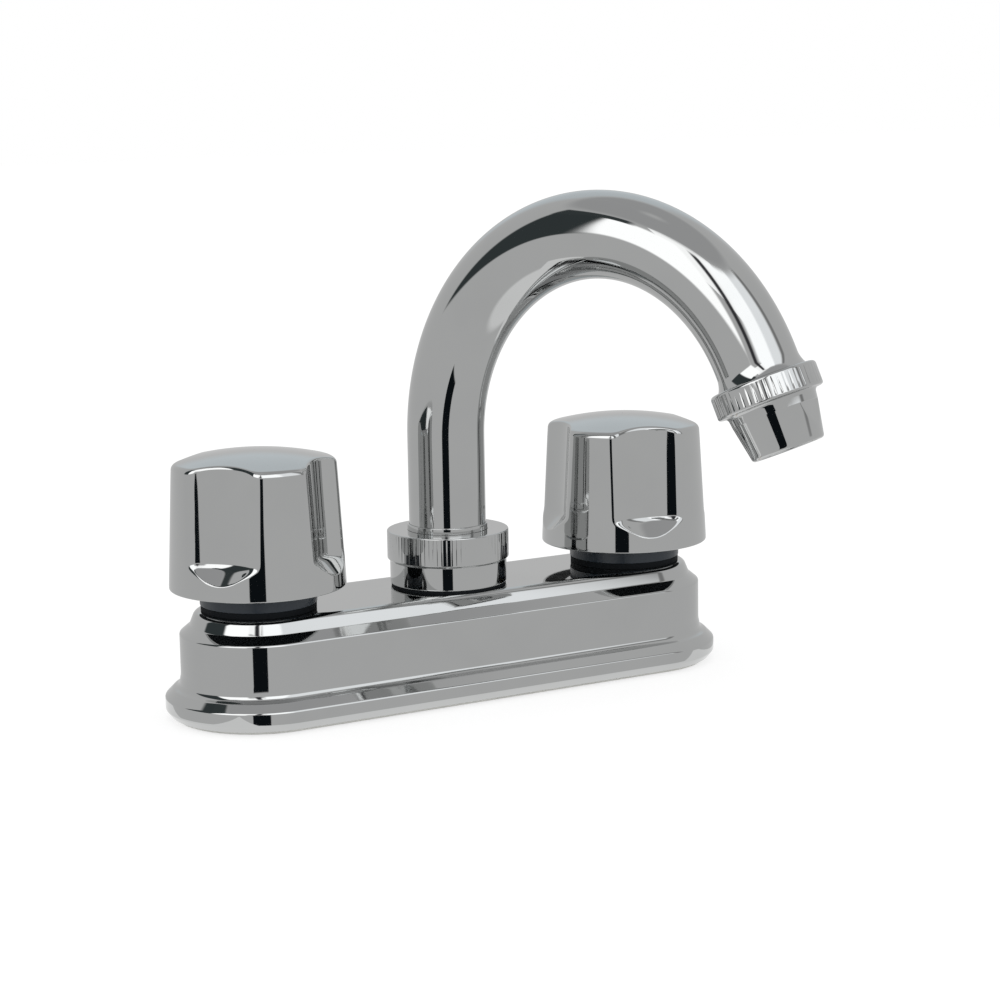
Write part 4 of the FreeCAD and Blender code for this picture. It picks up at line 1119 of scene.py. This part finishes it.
@dataclass
class Spout:
    """The bent tube on its swivel, turned as in the photograph, with its ferrule, foot and spigot."""

    low: float
    nut_top: float
    turn: float = math.radians(27.9 - 90.0)
    radius: float = 9.3 * MM
    crown_radius: float = 10.2 * MM
    end_radius: float = 9.5 * MM
    wall: float = 1.5 * MM
    bend_start: float = 61.5 * MM
    reach: float = 43.8 * MM
    rise: float = 49.4 * MM
    end_angle: float = math.radians(154.5)
    tail: float = 4.4 * MM
    flare_radius: float = 10.6 * MM
    flare_length: float = 4.4 * MM
    flare_lip: float = 0.8 * MM
    ferrule_gap: float = 0.03 * MM
    ferrule_height: float = 1.45 * MM
    ferrule_width: float = 0.45 * MM
    ferrule_foot_round: float = 0.04 * MM
    ferrule_top_round: float = 0.2 * MM
    sides: int = 96
    riser_steps: int = 8
    bend_steps: int = 96
    tail_steps: int = 16
    foot_radius: float = 9.1 * MM
    foot_bore: float = 6.2 * MM
    foot_low: float = 20.5 * MM
    foot_round: float = 0.5 * MM
    foot_overlap: float = 0.4 * MM
    groove_levels: tuple[float, float] = (24.0 * MM, 29.0 * MM)
    groove_half: float = 1.2 * MM
    groove_depth: float = 2.0 * MM
    spigot_radius: float = 9.0 * MM
    spigot_bore: float = 7.5 * MM
    spigot_start: float = -1.0 * MM
    spigot_end: float = 6.0 * MM

    def bend(self, angle: float) -> tuple[Vector, Vector]:
        """Centre and direction of the tube at an angle round its bend.

        Args:
            angle: Angle from the start of the bend.

        Returns:
            The point and the unit direction, with the spout pointing along +X.
        """
        level = self.bend_start + self.rise * math.sin(angle)
        point = Vector((self.reach * (1 - math.cos(angle)), 0.0, level))
        way = Vector((self.reach * math.sin(angle), 0.0, self.rise * math.cos(angle))).normalized()
        return point, way

    def outlet(self) -> Matrix:
        """Matrix that takes +Z from the origin to the tube's open end, pointing out of it.

        Returns:
            The matrix.
        """
        point, way = self.bend(self.end_angle)
        lean = Vector((0.0, 0.0, 1.0)).rotation_difference(way).to_matrix().to_4x4()
        swing = Matrix.Rotation(self.turn, 4, "Z")
        return swing @ Matrix.Translation(point + way * self.tail) @ lean

    def _stations(self) -> list[tuple[Vector, float]]:
        """Centre and outer radius along the tube, from the hub over to the flared end.

        Returns:
            The stations in order.
        """
        stations = []
        for k in range(self.riser_steps):
            level = self.low + (self.bend_start - self.low) * k / self.riser_steps
            stations.append((Vector((0.0, 0.0, level)), self.radius))
        for k in range(self.bend_steps + 1):
            share = k / self.bend_steps
            point, _ = self.bend(share * self.end_angle)
            if share < 0.5:
                radius = self.radius + (self.crown_radius - self.radius) * smooth_share(2 * share)
            else:
                narrowing = self.end_radius - self.crown_radius
                radius = self.crown_radius + narrowing * smooth_share(2 * share - 1)
            stations.append((point, radius))
        point, way = self.bend(self.end_angle)
        for k in range(1, self.tail_steps + 1):
            left = self.tail * (1 - k / self.tail_steps)
            share = max(0.0, min(1.0, 1 - (left - self.flare_lip) / (self.flare_length - self.flare_lip)))
            radius = self.end_radius + (self.flare_radius - self.end_radius) * share * share
            stations.append((point + way * (self.tail - left), radius))
        return stations

    def build(self, shop: Workshop) -> None:
        """Makes and dresses the tube, its foot, its spigot and its ferrule.

        Args:
            shop: The shared materials and trees.
        """
        swing = Matrix.Rotation(self.turn, 4, "Z")
        stations = self._stations()
        curve = bpy.data.curves.new("spout_path", "CURVE")
        curve.dimensions = "3D"
        spline = curve.splines.new("POLY")
        spline.points.add(len(stations) - 1)
        for knot, (point, radius) in zip(spline.points, stations):
            knot.co = (*(swing @ point), 1.0)
            knot.radius = radius
        values = {"Sides": self.sides, "Finish": shop.materials[Slot.CHROME]}
        tube = shop.tube.run("spout_bend", placed("spout_path", curve), values)
        wall = tube.modifiers.new("wall", "SOLIDIFY")
        wall.thickness = self.wall
        wall.offset = -1.0
        shop.dress(tube, Slot.CHROME, "spout", ["spout_tube"])
        self._hidden_ends(shop)
        low = self.nut_top + self.ferrule_gap
        high = low + self.ferrule_height
        ferrule = turned("spout_ferrule_ring", rounded([
            Corner(self.radius + PLAY, low),
            Corner(self.radius + self.ferrule_width, low, self.ferrule_foot_round),
            Corner(self.radius + self.ferrule_width, high, self.ferrule_top_round),
            Corner(self.radius + PLAY, high),
        ]))
        shop.dress(ferrule, Slot.CHROME, "spout", ["spout_ferrule"])

    def _hidden_ends(self, shop: Workshop) -> None:
        """Makes the grooved foot in the hub and the spigot in the aerator.

        Args:
            shop: The shared materials.
        """
        high = self.low + self.foot_overlap
        groove = self.foot_radius - self.groove_depth
        corners = [
            Corner(self.foot_bore, self.foot_low),
            Corner(self.foot_radius, self.foot_low, self.foot_round),
        ]
        for level in self.groove_levels:
            corners += [
                Corner(self.foot_radius, level - self.groove_half),
                Corner(groove, level - self.groove_half),
                Corner(groove, level + self.groove_half),
                Corner(self.foot_radius, level + self.groove_half),
            ]
        corners += [Corner(self.foot_radius, high), Corner(self.foot_bore, high)]
        foot = turned("spout_foot", rounded(corners))
        shop.dress(foot, Slot.CHROME, "spout")
        spigot = turned("spout_spigot", rounded([
            Corner(self.spigot_bore, self.spigot_start),
            Corner(self.spigot_radius, self.spigot_start),
            Corner(self.spigot_radius, self.spigot_end),
            Corner(self.spigot_bore, self.spigot_end),
        ]), columns=self.sides)
        spigot.data.transform(self.outlet())
        shop.dress(spigot, Slot.CHROME, "spout")


@dataclass
class Aerator:
    """The housing screwed on the spout's end: a ribbed ring and a coned body with two wrench flats."""

    outlet: Matrix
    ring_radius: float = 12.4 * MM
    ring_start: float = -1.1 * MM
    ring_end: float = 4.6 * MM
    ring_round: float = 1.1 * MM
    ring_end_round: float = 0.6 * MM
    seat: float = 10.7 * MM
    shoulder: float = 10.35 * MM
    cone: float = 10.05 * MM
    cone_crease: float = 0.05 * MM
    cove: float = 1.5 * MM
    outlet_radius: float = 8.4 * MM
    length: float = 15.8 * MM
    edge_round: float = 0.8 * MM
    mouth: float = 6.9 * MM
    mouth_depth: float = 1.7 * MM
    mouth_round: float = 0.25 * MM
    flat: float = 9.0 * MM
    flat_round: float = 0.12 * MM
    flat_start: float = 7.2 * MM
    row_step: float = 0.5 * MM
    thread: float = 9.1 * MM
    thread_start: float = 0.1 * MM
    pocket: float = 8.0 * MM
    washer_end: float = 7.6 * MM
    rib_count: int = 52
    rib_columns: int = 10
    groove_depth: float = 0.22 * MM
    groove_share: float = 0.22

    def build(self, shop: Workshop) -> None:
        """Makes and dresses the housing.

        Args:
            shop: The shared materials and trees.
        """
        lip = self.length - self.mouth_depth
        outline = rounded([
            Corner(self.seat, self.ring_start),
            Corner(self.ring_radius, self.ring_start, self.ring_round),
            Corner(self.ring_radius, self.ring_end, self.ring_end_round),
            Corner(self.shoulder, self.ring_end, self.cove),
            Corner(self.cone, self.flat_start - 2 * self.cone_crease, self.cone_crease),
            Corner(self.cone - PLAY, self.flat_start, self.cone_crease),
            Corner(self.outlet_radius, self.length, self.edge_round),
            Corner(self.mouth, self.length, self.mouth_round),
            Corner(self.mouth, lip),
            Corner(self.pocket, lip),
            Corner(self.pocket, self.washer_end),
            Corner(self.thread, self.washer_end),
            Corner(self.thread, self.thread_start),
            Corner(self.seat, self.thread_start),
        ])
        angles = around(self.rib_count * self.rib_columns)
        rings = [[self._flattened(out, along, a) for a in angles] for out, along in self._divided(outline)]
        blank = from_rings("aerator_blank", rings, wrap=True)
        housing = shop.knurl.run("aerator_body", blank, {
            "Count": float(self.rib_count),
            "Least Radius": self.ring_radius - self.groove_depth / 2,
            "Low": self.ring_start + self.ring_round,
            "High": self.ring_end - self.ring_end_round,
            "Depth": self.groove_depth,
            "Share": self.groove_share,
            "Finish": shop.materials[Slot.CHROME],
        })
        housing.data.transform(self.outlet)
        shop.dress(housing, Slot.CHROME, "spout", ["aerator_housing"])

    def _divided(self, outline: Sequence[Point]) -> list[Point]:
        """Adds rows on the coned body, so that the flats' curved edges stay smooth.

        Args:
            outline: Points of the housing's section.

        Returns:
            The outline with the rows added.
        """
        start = self.flat_start - 4 * self.cone_crease
        points: list[Point] = []
        for index, here in enumerate(outline):
            after = outline[(index + 1) % len(outline)]
            points.append(here)
            if here[0] > self.outlet_radius and here[1] > start:
                steps = math.ceil(math.dist(here, after) / self.row_step)
                for k in range(1, steps):
                    points.append(tuple(Vector(here).lerp(Vector(after), k / steps)))
        return points

    def _flattened(self, out: float, along: float, angle: float) -> Vector:
        """A point of the turned surface, brought in where a wrench flat cuts it.

        Args:
            out: Distance from the axis.
            along: Distance along the axis.
            angle: Direction round the axis.

        Returns:
            The point in the housing's own frame.
        """
        outside = out > max(self.outlet_radius - self.edge_round, self.pocket + PLAY / 2)
        if outside and self.flat_start - self.cone_crease < along < self.length - PLAY / 2:
            facing = abs(math.cos(angle))
            if facing > 0.5:
                out = eased_least(out, self.flat / facing, self.flat_round)
        return Vector((out * math.cos(angle), out * math.sin(angle), along))


@dataclass
class Waterway:
    """The brass body: two threaded tails with valve chambers, the cross passage and the spout's hub."""

    side: float
    depth: float
    tail_core: float = 9.75 * MM
    tail_radius: float = 10.45 * MM
    inlet: float = 6.0 * MM
    pitch: float = 1.814 * MM
    ridge: float = 0.62 * MM
    thread_top: float = -3.0 * MM
    run_out: float = 0.7 * MM
    inlet_round: float = 0.3 * MM
    tail_round: float = 0.5 * MM
    step_round: float = 0.1 * MM
    top_round: float = 0.4 * MM
    chamber: float = 12.0 * MM
    chamber_foot: float = 4.6 * MM
    chamber_floor: float = 9.0 * MM
    ceiling: float = 23.1 * MM
    neck: float = 10.95 * MM
    neck_top: float = 29.0 * MM
    neck_bore: float = 9.3 * MM
    hub: float = 12.0 * MM
    hub_bore: float = 9.2 * MM
    hub_floor: float = 10.0 * MM
    hub_base: float = 2.2 * MM
    hub_top: float = 33.0 * MM
    hub_shoulder: float = 1.1 * MM
    passage_level: float = 15.5 * MM
    passage_radius: float = 6.2 * MM
    passage_sides: int = 48

    def build(self, shop: Workshop) -> None:
        """Makes and dresses the body, its passage and its threads.

        Args:
            shop: The shared materials and trees.
        """
        self._tail(shop, Side.HOT, -self.side, ["waterway_body"])
        self._tail(shop, Side.COLD, self.side, [])
        self._hub(shop)
        self._passage(shop)

    def _tail(self, shop: Workshop, side: Side, x: float, replaces: Sequence[str]) -> None:
        """Makes a tail with its valve chamber and its thread.

        Args:
            shop: The shared materials and trees.
            side: The tail's side.
            x: Where its axis stands.
            replaces: CAD nodes that the casting replaces.
        """
        word = side.value
        outline = rounded([
            Corner(self.inlet, -self.depth, self.inlet_round),
            Corner(self.tail_core, -self.depth, self.tail_round),
            Corner(self.tail_core, self.thread_top, self.step_round),
            Corner(self.tail_radius, self.thread_top + self.run_out, self.step_round),
            Corner(self.tail_radius, self.chamber_foot),
            Corner(self.chamber, self.chamber_foot),
            Corner(self.chamber, self.ceiling),
            Corner(self.neck, self.ceiling),
            Corner(self.neck, self.neck_top, self.top_round),
            Corner(self.neck_bore, self.neck_top),
            Corner(self.neck_bore, self.chamber_floor),
            Corner(self.inlet, self.chamber_floor),
        ])
        tail = turned(f"{word}_tail_casting", outline, x)
        shop.dress(tail, Slot.BRASS, "base", replaces)
        length = self.depth + self.thread_top - 2 * self.ridge
        thread = shop.thread.run(f"{word}_tail_thread", blank_source(f"{word}_tail_thread"), {
            "Turns": length / self.pitch,
            "Radius": self.tail_radius - self.ridge,
            "Rise": length,
            "Foot": -self.depth + self.ridge,
            "Along": x,
            "Ridge": self.ridge,
            "Finish": shop.materials[Slot.BRASS],
        })
        smoothed(thread.data)
        shop.dress(thread, Slot.BRASS, "base")

    def _hub(self, shop: Workshop) -> None:
        """Makes the hub that the spout's foot turns in.

        Args:
            shop: The shared materials.
        """
        base, shoulder = self.hub_floor - self.hub_base, self.hub + self.hub_shoulder
        hub = turned("spout_hub_casting", rounded([
            Corner(0.0, base),
            Corner(shoulder, base),
            Corner(shoulder, self.ceiling),
            Corner(self.hub, self.ceiling),
            Corner(self.hub, self.hub_top, self.top_round),
            Corner(self.hub_bore, self.hub_top),
            Corner(self.hub_bore, self.hub_floor),
            Corner(0.0, self.hub_floor),
        ], closed=False), wrap=False)
        shop.dress(hub, Slot.BRASS, "base")

    def _passage(self, shop: Workshop) -> None:
        """Makes the passage that joins the chambers and the hub.

        Args:
            shop: The shared materials.
        """
        wide, level = self.passage_radius, self.passage_level
        stop = self.side - self.neck_bore
        angles = around(self.passage_sides)
        rings = [
            [Vector((x, radius * math.cos(a), level + radius * math.sin(a))) for a in angles]
            for x, radius in ((-stop, 0.0), (-stop, wide), (stop, wide), (stop, 0.0))
        ]
        passage = from_rings("cross_passage_casting", rings, wrap=False)
        shop.dress(passage, Slot.BRASS, "base")


@dataclass
class UnderDeck:
    """A tail's rubber washer and brass lock nut, which clamp the tap to the deck."""

    side: Side
    x: float
    nut_low: float
    nut_high: float
    washer_high: float
    flats: float = 30.0 * MM
    bore: float = 10.55 * MM
    washer_radius: float = 17.0 * MM
    washer_round: float = 0.4 * MM
    chamfer: float = 1.4 * MM
    bore_round: float = 0.5 * MM
    seat_round: float = 0.3 * MM
    edge_round: float = 0.2 * MM
    flat_round: float = 0.25 * MM
    bore_band: float = 1.0 * MM
    columns: int = 216

    def build(self, shop: Workshop) -> None:
        """Makes and dresses the washer and the nut.

        Args:
            shop: The shared materials.
        """
        word = self.side.value
        washer = turned(f"{word}_tail_washer_ring", rounded([
            Corner(self.bore, self.nut_high),
            Corner(self.washer_radius, self.nut_high, self.washer_round),
            Corner(self.washer_radius, self.washer_high, self.washer_round),
            Corner(self.bore, self.washer_high),
        ]), self.x)
        shop.dress(washer, Slot.RUBBER, "base", [f"{word}_tail_washer"])
        corner = self.flats / math.sqrt(3)
        outline = rounded([
            Corner(self.bore, self.nut_low, self.bore_round),
            Corner(self.flats / 2, self.nut_low, self.edge_round),
            Corner(corner, self.nut_low + self.chamfer, self.edge_round),
            Corner(corner, self.nut_high, self.edge_round),
            Corner(self.bore, self.nut_high, self.seat_round),
        ])
        rings = []
        for out, up in outline:
            ring = []
            for angle in around(self.columns):
                radius = out
                if out > self.bore + self.bore_band:
                    off = (angle + math.pi / 6) % (math.pi / 3) - math.pi / 6
                    radius = eased_least(out, self.flats / 2 / math.cos(off), self.flat_round)
                ring.append(Vector((self.x + radius * math.cos(angle), radius * math.sin(angle), up)))
            rings.append(ring)
        nut = from_rings(f"{word}_lock_nut_body", rings, wrap=True)
        shop.dress(nut, Slot.BRASS, "base", [f"{word}_lock_nut"])


@dataclass(frozen=True)
class Card:
    """A card or softbox round the tap, in degrees as seen from it: azimuth runs from -Y towards +X."""

    name: str
    azimuth: float
    width: float
    low: float
    high: float
    tone: Colour
    strength: float = 1.0
    distance: float = 0.75
    soft_side: float = 0.08
    soft_end: float = 0.08


CARDS = (
    Card("camera_slit", azimuth=-30.5, width=20.5, low=-27.0, high=4.0, tone=(0.006, 0.008, 0.01),
         distance=0.5, soft_side=0.04, soft_end=0.04),
    Card("left_softbox", azimuth=-67.0, width=46.0, low=10.0, high=54.0, tone=(1.0, 1.0, 1.0), strength=1.8,
         soft_side=0.12, soft_end=0.1),
    Card("right_softbox", azimuth=-7.0, width=42.0, low=9.0, high=57.0, tone=(0.98, 0.99, 1.0), strength=1.78,
         soft_side=0.18, soft_end=0.1),
    Card("right_glow", azimuth=20.0, width=46.0, low=9.0, high=57.0, tone=(0.96, 0.98, 1.0), strength=1.3,
         distance=0.77, soft_side=0.2, soft_end=0.12),
    Card("gap_flag", azimuth=-33.0, width=12.0, low=8.0, high=56.0, tone=(0.05, 0.05, 0.055),
         soft_side=0.35, soft_end=0.1),
    Card("left_flag", azimuth=-107.0, width=42.0, low=8.0, high=55.0, tone=(0.045, 0.055, 0.057),
         distance=0.74, soft_side=0.12, soft_end=0.06),
    Card("upper_flag", azimuth=-100.0, width=60.0, low=49.0, high=58.0, tone=(0.05, 0.06, 0.062),
         distance=0.73, soft_side=0.12, soft_end=0.2),
    Card("right_flag", azimuth=45.0, width=14.0, low=4.0, high=56.0, tone=(0.28, 0.28, 0.28),
         soft_side=0.4, soft_end=0.1),
    Card("overhead_card", azimuth=0.0, width=360.0, low=54.0, high=90.0, tone=(0.47, 0.47, 0.475),
         distance=1.2, soft_side=0.001, soft_end=0.22),
    Card("floor_glow", azimuth=0.0, width=360.0, low=-90.0, high=-56.0, tone=(0.92, 0.92, 0.92),
         distance=0.6, soft_side=0.001, soft_end=0.2),
    Card("back_card", azimuth=150.0, width=70.0, low=11.0, high=60.0, tone=(0.68, 0.73, 0.76),
         distance=1.2, soft_side=0.25, soft_end=0.22),
)


@dataclass
class Studio:
    """Camera, floor, backdrop colour, reflection cards and lamp."""

    azimuth: float = math.radians(30.0)
    elevation: float = math.radians(9.932)
    roll: float = math.radians(-0.965)
    distance: float = 632.8 * MM
    aim_across: float = 12.06 * MM
    aim_up: float = 44.97 * MM
    focal_pixels: float = 2579.6
    picture_pixels: float = 1000.0
    sensor: float = 36.0
    floor_half: float = 3.0
    floor_level: float = -0.3 * MM
    floor_grey: float = 0.86
    floor_roughness: float = 0.8
    floor_glow: float = 0.72
    floor_shade: float = 0.36
    glow_along: float = 81.0 * MM
    glow_across: float = 30.5 * MM
    glow_drop: float = 0.1 * MM
    glow_strength: float = 0.92
    world_level: float = 0.9
    reflected_white: float = 0.62
    card_centre: float = 50.0 * MM
    card_step: float = 4.0
    lamp_energy: float = 2.0
    lamp_size: float = 0.8
    lamp_place: tuple[float, float, float] = (-0.7, -0.8, 1.1)

    def build(self) -> None:
        """Sets up everything round the tap."""
        self._camera()
        self._world()
        self._floor()
        self._deck_glow()
        for card in CARDS:
            self._card(card)
        self._lamp()
        bpy.context.scene.view_settings.view_transform = "Standard"

    def _camera(self) -> None:
        """Places the camera at the photograph's viewing angle."""
        turn, lift = self.azimuth, self.elevation
        forward = Vector((math.sin(turn) * math.cos(lift), math.cos(turn) * math.cos(lift), -math.sin(lift)))
        right = Vector((math.cos(turn), -math.sin(turn), 0.0))
        up = Vector((math.sin(turn) * math.sin(lift), math.cos(turn) * math.sin(lift), math.cos(lift)))
        right_rolled = right * math.cos(self.roll) + up * math.sin(self.roll)
        up_rolled = up * math.cos(self.roll) - right * math.sin(self.roll)
        aim = right_rolled * self.aim_across + up_rolled * self.aim_up
        data = bpy.data.cameras.new("camera")
        data.sensor_width = self.sensor
        data.lens = self.sensor * self.focal_pixels / self.picture_pixels
        camera = placed("camera", data)
        axes = Matrix((right_rolled, up_rolled, -forward)).transposed().to_4x4()
        camera.matrix_world = Matrix.Translation(aim - forward * self.distance) @ axes
        bpy.context.scene.camera = camera

    @staticmethod
    def _seen_directly(wiring: Wiring) -> bpy.types.NodeSocket:
        """A factor of 1 for camera, glossy and transmission rays, and 0 for diffuse ones.

        Args:
            wiring: The wiring of the material or world.

        Returns:
            The factor's socket.
        """
        path = wiring.add("ShaderNodeLightPath").outputs
        shown = wiring.math("MAXIMUM", path["Is Camera Ray"], path["Is Glossy Ray"])
        return wiring.math("MAXIMUM", shown, path["Is Transmission Ray"])

    def _world(self) -> None:
        """A world that is white to the camera, softer in reflections, and lights the tap softly."""
        world = bpy.data.worlds.new("studio_world")
        world.use_nodes = True
        bpy.context.scene.world = world
        wiring = Wiring(world.node_tree)
        path = wiring.add("ShaderNodeLightPath").outputs
        white = wiring.add("ShaderNodeMapRange", To_Min=self.reflected_white, To_Max=1.0,
                           Value=path["Is Camera Ray"])
        level = wiring.mix("FLOAT", self._seen_directly(wiring), self.world_level, white.outputs["Result"])
        wiring.set(world.node_tree.nodes["Background"], Color=(1.0, 1.0, 1.0, 1.0), Strength=level)

    @staticmethod
    def _sheet(name: str, along: float, across: float, level: float) -> bpy.types.Object:
        """Makes a level rectangle under the tap that faces up.

        Args:
            name: The object's name.
            along: Half of its length along X.
            across: Half of its width along Y.
            level: Its height.

        Returns:
            The new object.
        """
        mesh = bpy.data.meshes.new(name)
        ends = ((-along, -across), (along, -across), (along, across), (-along, across))
        mesh.from_pydata([(x, y, level) for x, y in ends], [], [(0, 1, 2, 3)])
        return placed(name, mesh)

    @staticmethod
    def _surface(item: bpy.types.Object, name: str) -> Wiring:
        """Gives an object a new node material.

        Args:
            item: The object.
            name: The material's name.

        Returns:
            The wiring of the material's tree.
        """
        material = bpy.data.materials.new(name)
        material.use_nodes = True
        item.data.materials.append(material)
        return Wiring(material.node_tree)

    @staticmethod
    def _only_reflected(item: bpy.types.Object) -> None:
        """Makes a stage object show in reflections alone, and light and shade nothing."""
        item.visible_camera = False
        item.visible_diffuse = False
        item.visible_shadow = False

    def _floor(self) -> None:
        """The pale floor under the tap, which shows the tap's shadow and is clear from below."""
        floor = self._sheet("floor", self.floor_half, self.floor_half, self.floor_level)
        wiring = self._surface(floor, "floor_paper")
        nodes = wiring.tree.nodes
        wiring.set(nodes["Principled BSDF"], Base_Color=(*[self.floor_grey] * 3, 1.0),
                   Roughness=self.floor_roughness, Specular_IOR_Level=0.0)
        glow = wiring.add("ShaderNodeEmission", Strength=self.floor_glow)
        shade = wiring.add("ShaderNodeBsdfDiffuse", Color=(*[self.floor_shade] * 3, 1.0))
        lit = wiring.add("ShaderNodeAddShader")
        wiring.feed(lit.inputs[0], glow.outputs[0])
        wiring.feed(lit.inputs[1], shade.outputs[0])
        paper = nodes["Principled BSDF"].outputs[0]
        shown = wiring.mix_shaders(self._seen_directly(wiring), paper, lit.outputs[0])
        clear = wiring.add("ShaderNodeBsdfTransparent")
        under = wiring.add("ShaderNodeNewGeometry")
        whole = wiring.mix_shaders(under.outputs["Backfacing"], shown, clear.outputs[0])
        wiring.set(nodes["Material Output"], Surface=whole)
        floor.visible_glossy = False

    def _deck_glow(self) -> None:
        """A pale sheet that only reflections show, so that none of them shows what hangs below the deck."""
        sheet = self._sheet("deck_glow", self.glow_along, self.glow_across, self.floor_level - self.glow_drop)
        wiring = self._surface(sheet, "deck_glow")
        glow = wiring.add("ShaderNodeEmission", Strength=self.glow_strength)
        wiring.set(wiring.tree.nodes["Material Output"], Surface=glow.outputs[0])
        self._only_reflected(sheet)

    def _card(self, card: Card) -> None:
        """Hangs one card, curved round the tap, that only reflections show.

        Args:
            card: The card's place, size and tone.
        """
        centre = Vector((0.0, 0.0, self.card_centre))
        columns = max(2, math.ceil(card.width / self.card_step))
        rows = max(2, math.ceil((card.high - card.low) / self.card_step))
        points, faces, places = [], [], []
        for i in range(rows + 1):
            lift = math.radians(card.low + (card.high - card.low) * i / rows)
            level = math.cos(lift)
            for j in range(columns + 1):
                turn = math.radians(card.azimuth - card.width / 2 + card.width * j / columns)
                way = Vector((math.sin(turn) * level, -math.cos(turn) * level, math.sin(lift)))
                points.append(centre + way * card.distance)
                places.append((j / columns, i / rows))
        for i in range(rows):
            for j in range(columns):
                a = i * (columns + 1) + j
                faces.append((a, a + 1, a + columns + 2, a + columns + 1))
        mesh = bpy.data.meshes.new(card.name)
        mesh.from_pydata(points, [], faces)
        layer = mesh.uv_layers.new(name="card")
        for loop in mesh.loops:
            layer.data[loop.index].uv = places[loop.vertex_index]
        item = placed(card.name, mesh)
        self._card_glow(item, card)
        self._only_reflected(item)

    def _card_glow(self, item: bpy.types.Object, card: Card) -> None:
        """Gives a card a glow that fades out towards its edges.

        Args:
            item: The card's object.
            card: The card's tone, strength and soft edges.
        """
        wiring = self._surface(item, card.name)
        glow = wiring.add("ShaderNodeEmission", Color=(*card.tone, 1.0), Strength=card.strength)
        place = wiring.add("ShaderNodeUVMap")
        split = wiring.add("ShaderNodeSeparateXYZ", Vector=place.outputs["UV"])
        shares = []
        for axis, soft in (("X", card.soft_side), ("Y", card.soft_end)):
            away = wiring.math("PINGPONG", split.outputs[axis], 0.5)
            fade = wiring.add("ShaderNodeMapRange", interpolation_type="SMOOTHSTEP", From_Max=soft,
                              Value=away)
            shares.append(fade.outputs["Result"])
        clear = wiring.add("ShaderNodeBsdfTransparent")
        blend = wiring.mix_shaders(wiring.math("MULTIPLY", *shares), clear.outputs[0], glow.outputs[0])
        wiring.set(wiring.tree.nodes["Material Output"], Surface=blend)

    def _lamp(self) -> None:
        """One large soft lamp from the upper left front, aimed at the tap."""
        data = bpy.data.lights.new("soft_lamp", "AREA")
        data.energy = self.lamp_energy
        data.size = self.lamp_size
        lamp = placed("soft_lamp", data)
        lamp.location = self.lamp_place
        lamp.rotation_euler = (-Vector(self.lamp_place)).to_track_quat("-Z", "Y").to_euler()


def dress_inner_nodes(shop: Workshop, nodes: dict[str, bpy.types.Object], record: dict) -> None:
    """Gives each CAD node that still shows the finish of its own slot.

    Args:
        shop: The shared materials.
        nodes: The frame's CAD nodes.
        record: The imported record.
    """
    slots = {part["node"]: Slot(part["material_slot"]) for part in record["subparts"]}
    for name, node in nodes.items():
        node.data.materials.clear()
        node.data.materials.append(shop.materials[slots[name]])


def main() -> None:
    """Builds the tap, dresses it and sets up the studio."""
    logging.basicConfig(level=logging.INFO, format="%(name)s: %(message)s")
    shop = Workshop()
    dress_inner_nodes(shop, frame["nodes"], frame["record"])
    joints = {joint["name"]: joint for joint in frame["record"]["behaviour"]["joints"]}
    side = joints["cold_turn"]["pos_m"][0]
    cover_low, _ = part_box("base_cover")
    waterway_low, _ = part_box("waterway_body")
    nut_low, nut_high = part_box("spout_nut")
    BaseCover(side=side, foot=cover_low.z).build(shop)
    waterway = Waterway(side=side, depth=-waterway_low.z)
    waterway.build(shop)
    for word, x, turn in ((Side.HOT, -side, HOT_KNOB_TURN), (Side.COLD, side, COLD_KNOB_TURN)):
        collar_low, collar_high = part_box(f"{word.value}_collar")
        knob_low, knob_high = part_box(f"{word.value}_handle")
        lock_low, lock_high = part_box(f"{word.value}_lock_nut")
        _, washer_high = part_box(f"{word.value}_tail_washer")
        Collar(word, x, collar_low.z, collar_high.z).build(shop)
        Knob(word, x, knob_low.z, knob_high.z, turn).build(shop)
        UnderDeck(word, x, lock_low.z, lock_high.z, washer_high.z).build(shop)
    SpoutNut(foot=nut_low.z, top=nut_high.z).build(shop)
    spout = Spout(low=waterway.hub_top, nut_top=nut_high.z)
    spout.build(shop)
    Aerator(outlet=spout.outlet()).build(shop)
    Studio().build()


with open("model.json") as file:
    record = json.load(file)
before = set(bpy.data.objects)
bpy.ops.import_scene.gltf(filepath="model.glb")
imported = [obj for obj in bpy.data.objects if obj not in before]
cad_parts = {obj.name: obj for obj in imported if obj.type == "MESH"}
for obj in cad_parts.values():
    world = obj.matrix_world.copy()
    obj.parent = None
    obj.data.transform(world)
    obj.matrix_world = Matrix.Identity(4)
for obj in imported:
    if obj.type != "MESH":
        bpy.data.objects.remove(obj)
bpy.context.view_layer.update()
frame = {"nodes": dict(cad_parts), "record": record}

if __name__ == "__main__":
    main()
